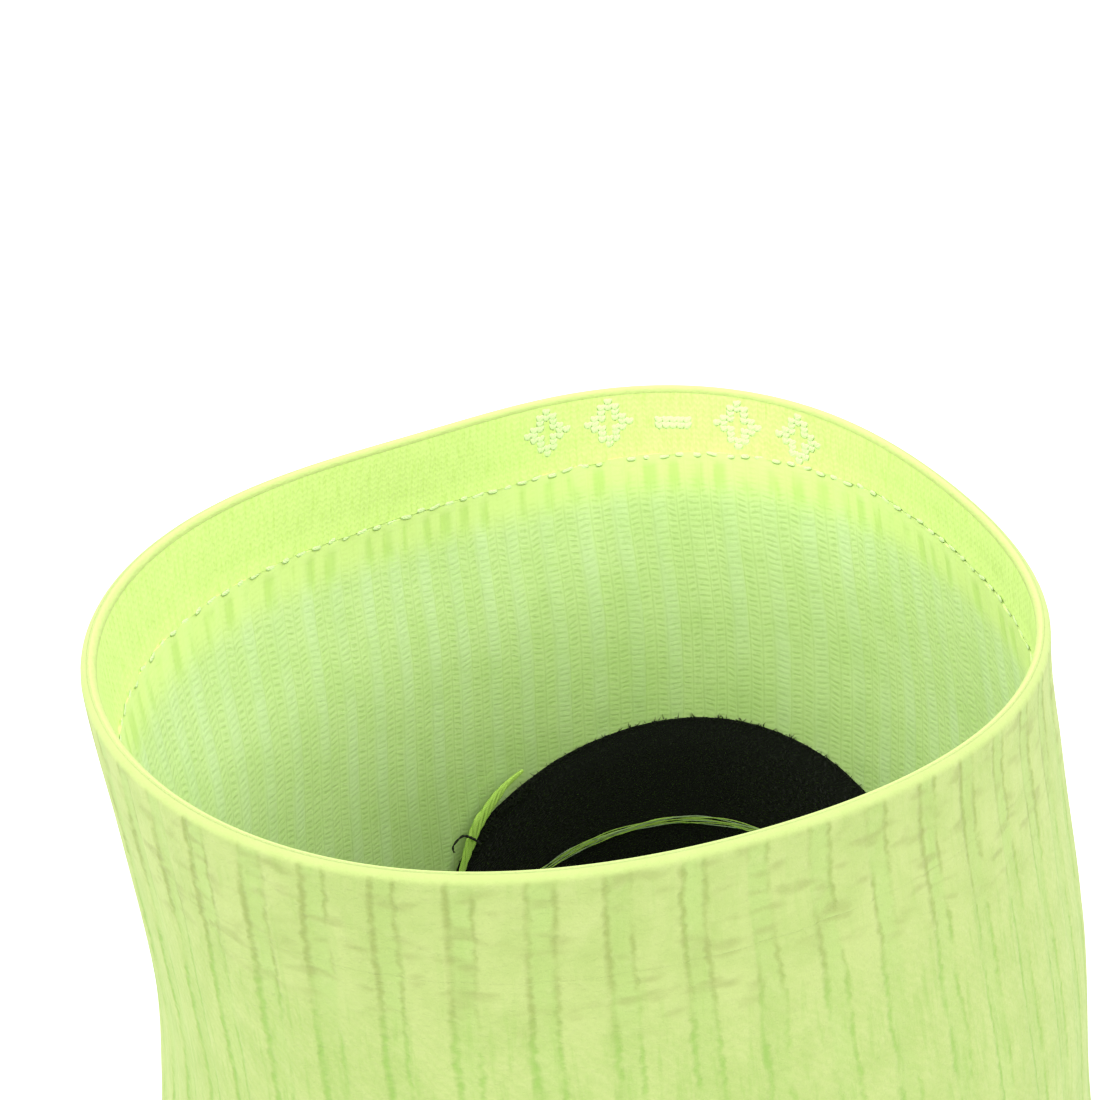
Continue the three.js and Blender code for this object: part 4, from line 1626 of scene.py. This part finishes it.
@dataclass
class HeelYarns:
    """The loose yarns at the heel patch: floats behind the accent stripe, the edge twist and its cut tails."""

    form: SockForm
    float_seed: int = 21
    hair_seed: int = 33
    hairs: int = 340
    hairs_by_twist: int = 200

    def inside(self, stops: Sequence[tuple], count: int, lift: float) -> np.ndarray:
        """Return a path over the inside of the wall.

        Args:
            stops: Angle in degrees, height and lift off the wall at each stop.
            count: Points between two stops.
            lift: The yarn's own distance off the wall.

        Returns:
            The path's points.
        """
        f = self.form
        points = []
        for degrees, height, *more in stops:
            angle = np.array([math.radians(degrees)])
            low, high = 0.0, 7.0
            for _ in range(30):
                middle = (low + high) / 2
                if f.surface(np.array([middle]), angle)[0, 2] > height:
                    low = middle
                else:
                    high = middle
            depth = f.pad_wall + lift + (more[0] if more else 0.0)
            points.append(f.wall(np.array([low]), angle, depth)[0])
        return smooth_line(np.array(points), count)

    def ply_round(self, path: np.ndarray, phase: float, turns: float, spread: np.ndarray, flat: float) -> np.ndarray:
        """Return a path that winds round another, pressed flat against the wall.

        Args:
            path: The path it winds round, in millimetres.
            phase: Where its turns start, in radians.
            turns: How many turns it makes.
            spread: How far out it winds at each point.
            flat: How far it stands off the wall, as a share of that.

        Returns:
            The winding path.
        """
        tangent = unit(np.gradient(path, axis=0))
        centre = np.array([0.0, self.form.leg_centre, 0.0])
        inward = centre - path
        inward[:, 2] = 0
        inward = unit(inward - tangent * (inward * tangent).sum(1, keepdims=True))
        side = np.cross(tangent, inward)
        length = lengths_along(path)
        turn = phase + 2 * math.pi * turns * length / length[-1]
        return path + side * (spread * np.cos(turn))[:, None] + inward * (spread * flat * np.sin(turn))[:, None]

    def floats(self, green: bpy.types.Material, pale: bpy.types.Material) -> None:
        """Build the yarns that float across the patch, fine strands that gather and part.

        Args:
            green: The neon yarn.
            pale: The greyer yarn.
        """
        rng = np.random.default_rng(self.float_seed)
        tilt = self.form.patch_tilt * self.form.ankle_half_width
        for order in range(3):
            strands = []
            for ply in range(3):
                drift = rng.normal(0, 0.16, 8)
                stops = []
                for index, degrees in enumerate((-33, -24, -14, -4, 6, 16, 25, 34)):
                    height = self.form.accent_height + tilt * math.sin(math.radians(degrees)) - 0.0045 * degrees**2
                    spread = (1 - order) * (0.34 + 0.006 * max(degrees, 0))
                    stops.append((degrees, height - 1.1 + spread + drift[index], 0.12 * abs(drift[index])))
                path = self.inside(stops, 12, 0.42)
                wound = self.ply_round(path, ply * 2.1, 5.0, np.full(len(path), 0.1), 0.6)
                taper = 0.062 * (0.62 + 0.38 * np.sin(np.linspace(0.25, math.pi - 0.25, len(wound))))
                strand = Bench.strand("float_ply", wound, taper)
                strand.data.materials.append(pale if (ply + order) % 3 == 0 else green)
                strands.append(strand)
            piece = Bench.join(f"heel_float_strand_{order + 1}", strands)
            Bench.smooth(piece, ROUND)
            Bench.place(piece, "pale_yarn", [f"heel_float_yarn_{order + 1}"])

    def edge_twist(self, green: bpy.types.Material) -> bpy.types.Object:
        """Build the flattened, twisted bundle of neon yarn at the patch's edge.

        Args:
            green: The neon yarn.

        Returns:
            The twist.
        """
        stops = [(-32.5, 65.6), (-36.4, 64.1), (-40, 61.8), (-43.2, 58.6), (-46, 54), (-47.8, 48)]
        path = self.inside(stops, 14, 0.5)
        along = np.linspace(0, 1, len(path))
        swell = 0.12 + 0.62 * np.sin(np.clip(along * 1.15, 0, 1) * math.pi) ** 1.2 * (0.35 + along)
        strands = []
        for ply in range(7):
            wound = self.ply_round(path, ply * 0.9, 2.3 + 0.12 * ply, swell * (0.55 + 0.07 * ply), 0.38)
            strands.append(Bench.strand("twist_ply", wound, 0.1 + 0.13 * np.sin(along * math.pi) ** 0.7))
        piece = Bench.join("edge_yarn_twist", strands)
        Bench.smooth(piece, ROUND)
        return Bench.place(piece, "neon_plain_knit", ["edge_yarn_bundle"], green)

    def tails(self, black: bpy.types.Material) -> None:
        """Build the two curled black yarn tails at the patch's edge.

        Args:
            black: The black yarn.
        """
        upper = [(-41.9, 57), (-43.6, 58.8, 0.5), (-46, 60.3, 0.9), (-48, 59.5, 0.9), (-47.5, 58, 0.5)]
        lower = [(-44.3, 51), (-46, 52.5, 0.5), (-48, 51.8, 0.8), (-49, 49.8, 0.5)]
        for end, stops in (("upper", upper), ("lower", lower)):
            path = self.inside(stops, 10, 0.5)
            strands = []
            for ply in range(2):
                wound = self.ply_round(path, ply * math.pi, 4.0, np.full(len(path), 0.07), 1.0)
                strands.append(Bench.strand("tail_ply", wound, np.linspace(0.13, 0.05, len(path))))
            piece = Bench.join(f"curled_tail_{end}", strands)
            Bench.smooth(piece, ROUND)
            Bench.place(piece, "black_terry_knit", [f"yarn_tail_{end}"], black)

    def edge_fuzz(self, black: bpy.types.Material) -> bpy.types.Object:
        """Build the short hairs and loops that stand off the patch's edge inside the leg.

        Args:
            black: The black yarn.

        Returns:
            The hairs.
        """
        f = self.form
        rng = np.random.default_rng(self.hair_seed)
        models = []
        for curl in (0.6, 1.2, 1.9, 2.6):
            t = np.linspace(0, 1, 6)
            path = np.stack([0.45 * np.sin(curl * t), 0.9 * t - 0.2 * curl * t * t, 0.25 * np.sin(3 * t)], -1)
            models.append(Bench.strand("edge_hair", path, 0.07 * (1.1 - t), 4))
            Bench.smooth(models[-1], ROUND)
        spread = rng.uniform(-58, 58, self.hairs)
        angles = np.radians(np.concatenate([spread, rng.uniform(-50, -30, self.hairs_by_twist)]))
        edge = f.crossing(Edge.PATCH, angles)
        # Beside the twist the hairs are longer and stand further off the cloth.
        tufts = np.repeat([0.0, 1.0], [self.hairs, self.hairs_by_twist])
        places = []
        for angle, place, tuft in zip(angles, edge, tufts):
            one = np.array([angle])
            where = np.array([place]) + rng.uniform(-0.012, 0.006)
            here = f.wall(where, one, f.pad_wall - rng.uniform(0.75, 0.98) + 0.6 * tuft)[0]
            ahead = f.wall(np.array([place]), one + 0.02, f.pad_wall)[0]
            inward = -f.outward(np.array([place]), one)[0]
            size = rng.uniform(0.5, 1.2) * (1 + 0.5 * tuft)
            turn = rng.normal(0, 0.7 + tuft)
            flat = np.array(Vector(ahead - here).normalized())
            across = flat * math.cos(turn) + np.array([0, 0, 1.0]) * math.sin(turn)
            places.append(frame_at(here, across, inward, (size, size, size)))
        piece = Bench.copies("patch_edge_hairs", models, places)
        return Bench.place(piece, "black_terry_knit", [], black)


@dataclass
class Studio:
    """A pale floor, soft light and the camera."""

    floor_size: float = 60.0
    camera_place: tuple[float, float, float] = (0.0197, -0.1083, 0.0524)
    tilt: float = 65.0
    turn: float = 12.0
    lens: float = 49.4
    sun_spread: float = 70.0
    suns: tuple[tuple[str, tuple[float, float, float], float], ...] = (
        ("key", (-1.0, -0.65, 1.1), 2.05),
        ("fill", (1.0, -0.65, 1.1), 1.6),
        ("back", (0.1, 0.8, 1.0), 1.1),
    )

    def build(self, form: SockForm) -> None:
        """Make the floor, the lights, the world and the camera.

        Args:
            form: The sock, whose rim the camera is set from.
        """
        Bench.clear()
        bpy.ops.mesh.primitive_grid_add(x_subdivisions=8, y_subdivisions=8, size=self.floor_size)
        floor = bpy.context.object
        floor.name = "floor"
        floor.data.transform(Matrix.Translation((0, 0, -0.0002)))
        floor.data.materials.append(FloorPaint().make())
        rim = Vector((-form.cuff_lean, form.leg_centre, form.rim_height)) * MM
        Bench.clear()
        bpy.ops.object.camera_add()
        camera = bpy.context.object
        camera.location = rim + Vector(self.camera_place)
        camera.rotation_euler = (math.radians(self.tilt), 0, math.radians(self.turn))
        camera.data.lens = self.lens
        camera.data.clip_start = 0.005
        camera.data.clip_end = 200
        bpy.context.scene.camera = camera
        for name, come_from, strength in self.suns:
            self.sun(name, come_from, self.sun_spread, strength)
        world = bpy.data.worlds.new("soft_room")
        bpy.context.scene.world = world
        world.use_nodes = True
        world.node_tree.nodes["Background"].inputs["Color"].default_value = (1, 1, 1, 1)
        world.node_tree.nodes["Background"].inputs["Strength"].default_value = 1.0
        bpy.context.scene.view_settings.view_transform = "Standard"
        bpy.context.scene.view_settings.look = "None"

    @staticmethod
    def sun(name: str, come_from: tuple[float, float, float], spread: float, strength: float) -> None:
        """Set one broad, soft, even light.

        Args:
            name: Its name.
            come_from: The direction that it comes from.
            spread: How wide it is, in degrees.
            strength: How strong it is.
        """
        Bench.clear()
        bpy.ops.object.light_add(type="SUN", location=(0, 0, 1))
        lamp = bpy.context.object
        lamp.name = name
        lamp.data.angle = math.radians(spread)
        lamp.data.energy = strength
        lamp.rotation_euler = Vector(come_from).to_track_quat("Z", "Y").to_euler()


# ---- putting it together ------------------------------------------------------------------------


def main() -> None:
    """Build the sock, then the studio."""
    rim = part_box("cuff_outer_layer")[1].z / MM
    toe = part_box("toe_cap")[0].y / MM
    form = SockForm(
        rim_height=round(rim, 1),
        heel_back=round(-toe, 1),
        foot_length=round(-2 * toe, 1),
        ball_half_width=round(cad_box[1].x / MM, 1),
    )
    log.info("rim %s mm high, foot %s mm long", form.rim_height, form.foot_length)
    rib_out, rib_in = RibOutside(rim_height=rim * MM).make(), RibInside().make()
    foot_in = RibInside(name="neon_foot_inside", gathered=False).make()
    smooth_knit = SmoothKnit(ground=plain(222, 247, 150)).make()
    stripe_out = SmoothKnit(name="neon_stripe_knit", wales=1.0, dim=0.6).make()
    arch_out = ArchKnit().make()
    black_in = BlackKnit().make()
    black_out = BlackKnit("black_flat_knit", plain(11, 13, 10), plain(30, 33, 28), looped=False).make()
    pale = Yarn("pale_yarn", plain(228, 250, 186), plain(216, 244, 160)).make()
    green = Yarn("neon_yarn", plain(206, 240, 120), plain(120, 160, 60)).make()
    grey = Yarn("grey_green_yarn", plain(190, 210, 170), plain(110, 140, 90)).make()
    dark = Yarn("black_yarn", plain(26, 32, 20), plain(10, 12, 8)).make()
    elastic = Yarn("covered_elastic_yarn", plain(238, 242, 228), plain(200, 208, 186), turns=8.0).make()

    leg = Leg(form)
    leg.ribbed_leg(rib_out, rib_in)
    leg.facing(smooth_knit)
    leg.elastics(elastic)
    leg.closing_stitch(pale)
    leg.marks(pale)

    foot = Foot(form)
    thin, thick = form.rib_wall, form.pad_wall
    neon, neon_flat, black = "neon_rib_knit", "neon_plain_knit", "black_terry_knit"
    forefoot, patch, low = Edge.FOREFOOT, Edge.PATCH, Edge.ACCENT_LOW
    arch_zone = Zone("arch_band_knit", [Edge.ARCH], [forefoot, patch], thin, "arch_rib_knit", "arch_band", 24)
    instep_zone = Zone("instep_rib_knit", [forefoot], [Edge.TOE, patch], thin, neon, "instep_panel", 50, 0.13)
    foot.panel(arch_zone, arch_out, foot_in)
    foot.panel(instep_zone, rib_out, foot_in)
    for zone in (
        Zone("heel_upper_terry", [patch], [Edge.ACCENT_TOP], thick, black, "heel_top_panel", 26),
        Zone("heel_accent_stripe", [Edge.ACCENT_TOP, patch], [low], thick, neon_flat, "heel_accent_line", 4),
        Zone("heel_back_terry", [low, patch], [Edge.GORE], thick, black, "heel_back_half", 34),
        Zone("heel_sole_terry", [Edge.GORE, patch], [Edge.SPLIT], thick, black, "heel_sole_half", 40),
        Zone("sole_terry", [Edge.SPLIT, patch], [Edge.TOE], thick, black, "sole_pad", 60),
    ):
        foot.panel(zone, black_out if zone.slot == black else stripe_out, black_in)
    foot.toe(black_out, black_in)
    foot.toe_seam(dark)

    yarns = HeelYarns(form)
    yarns.floats(green, grey)
    yarns.edge_twist(green)
    yarns.tails(dark)
    yarns.edge_fuzz(dark)

    Studio().build(form)


if __name__ == "__main__":
    main()
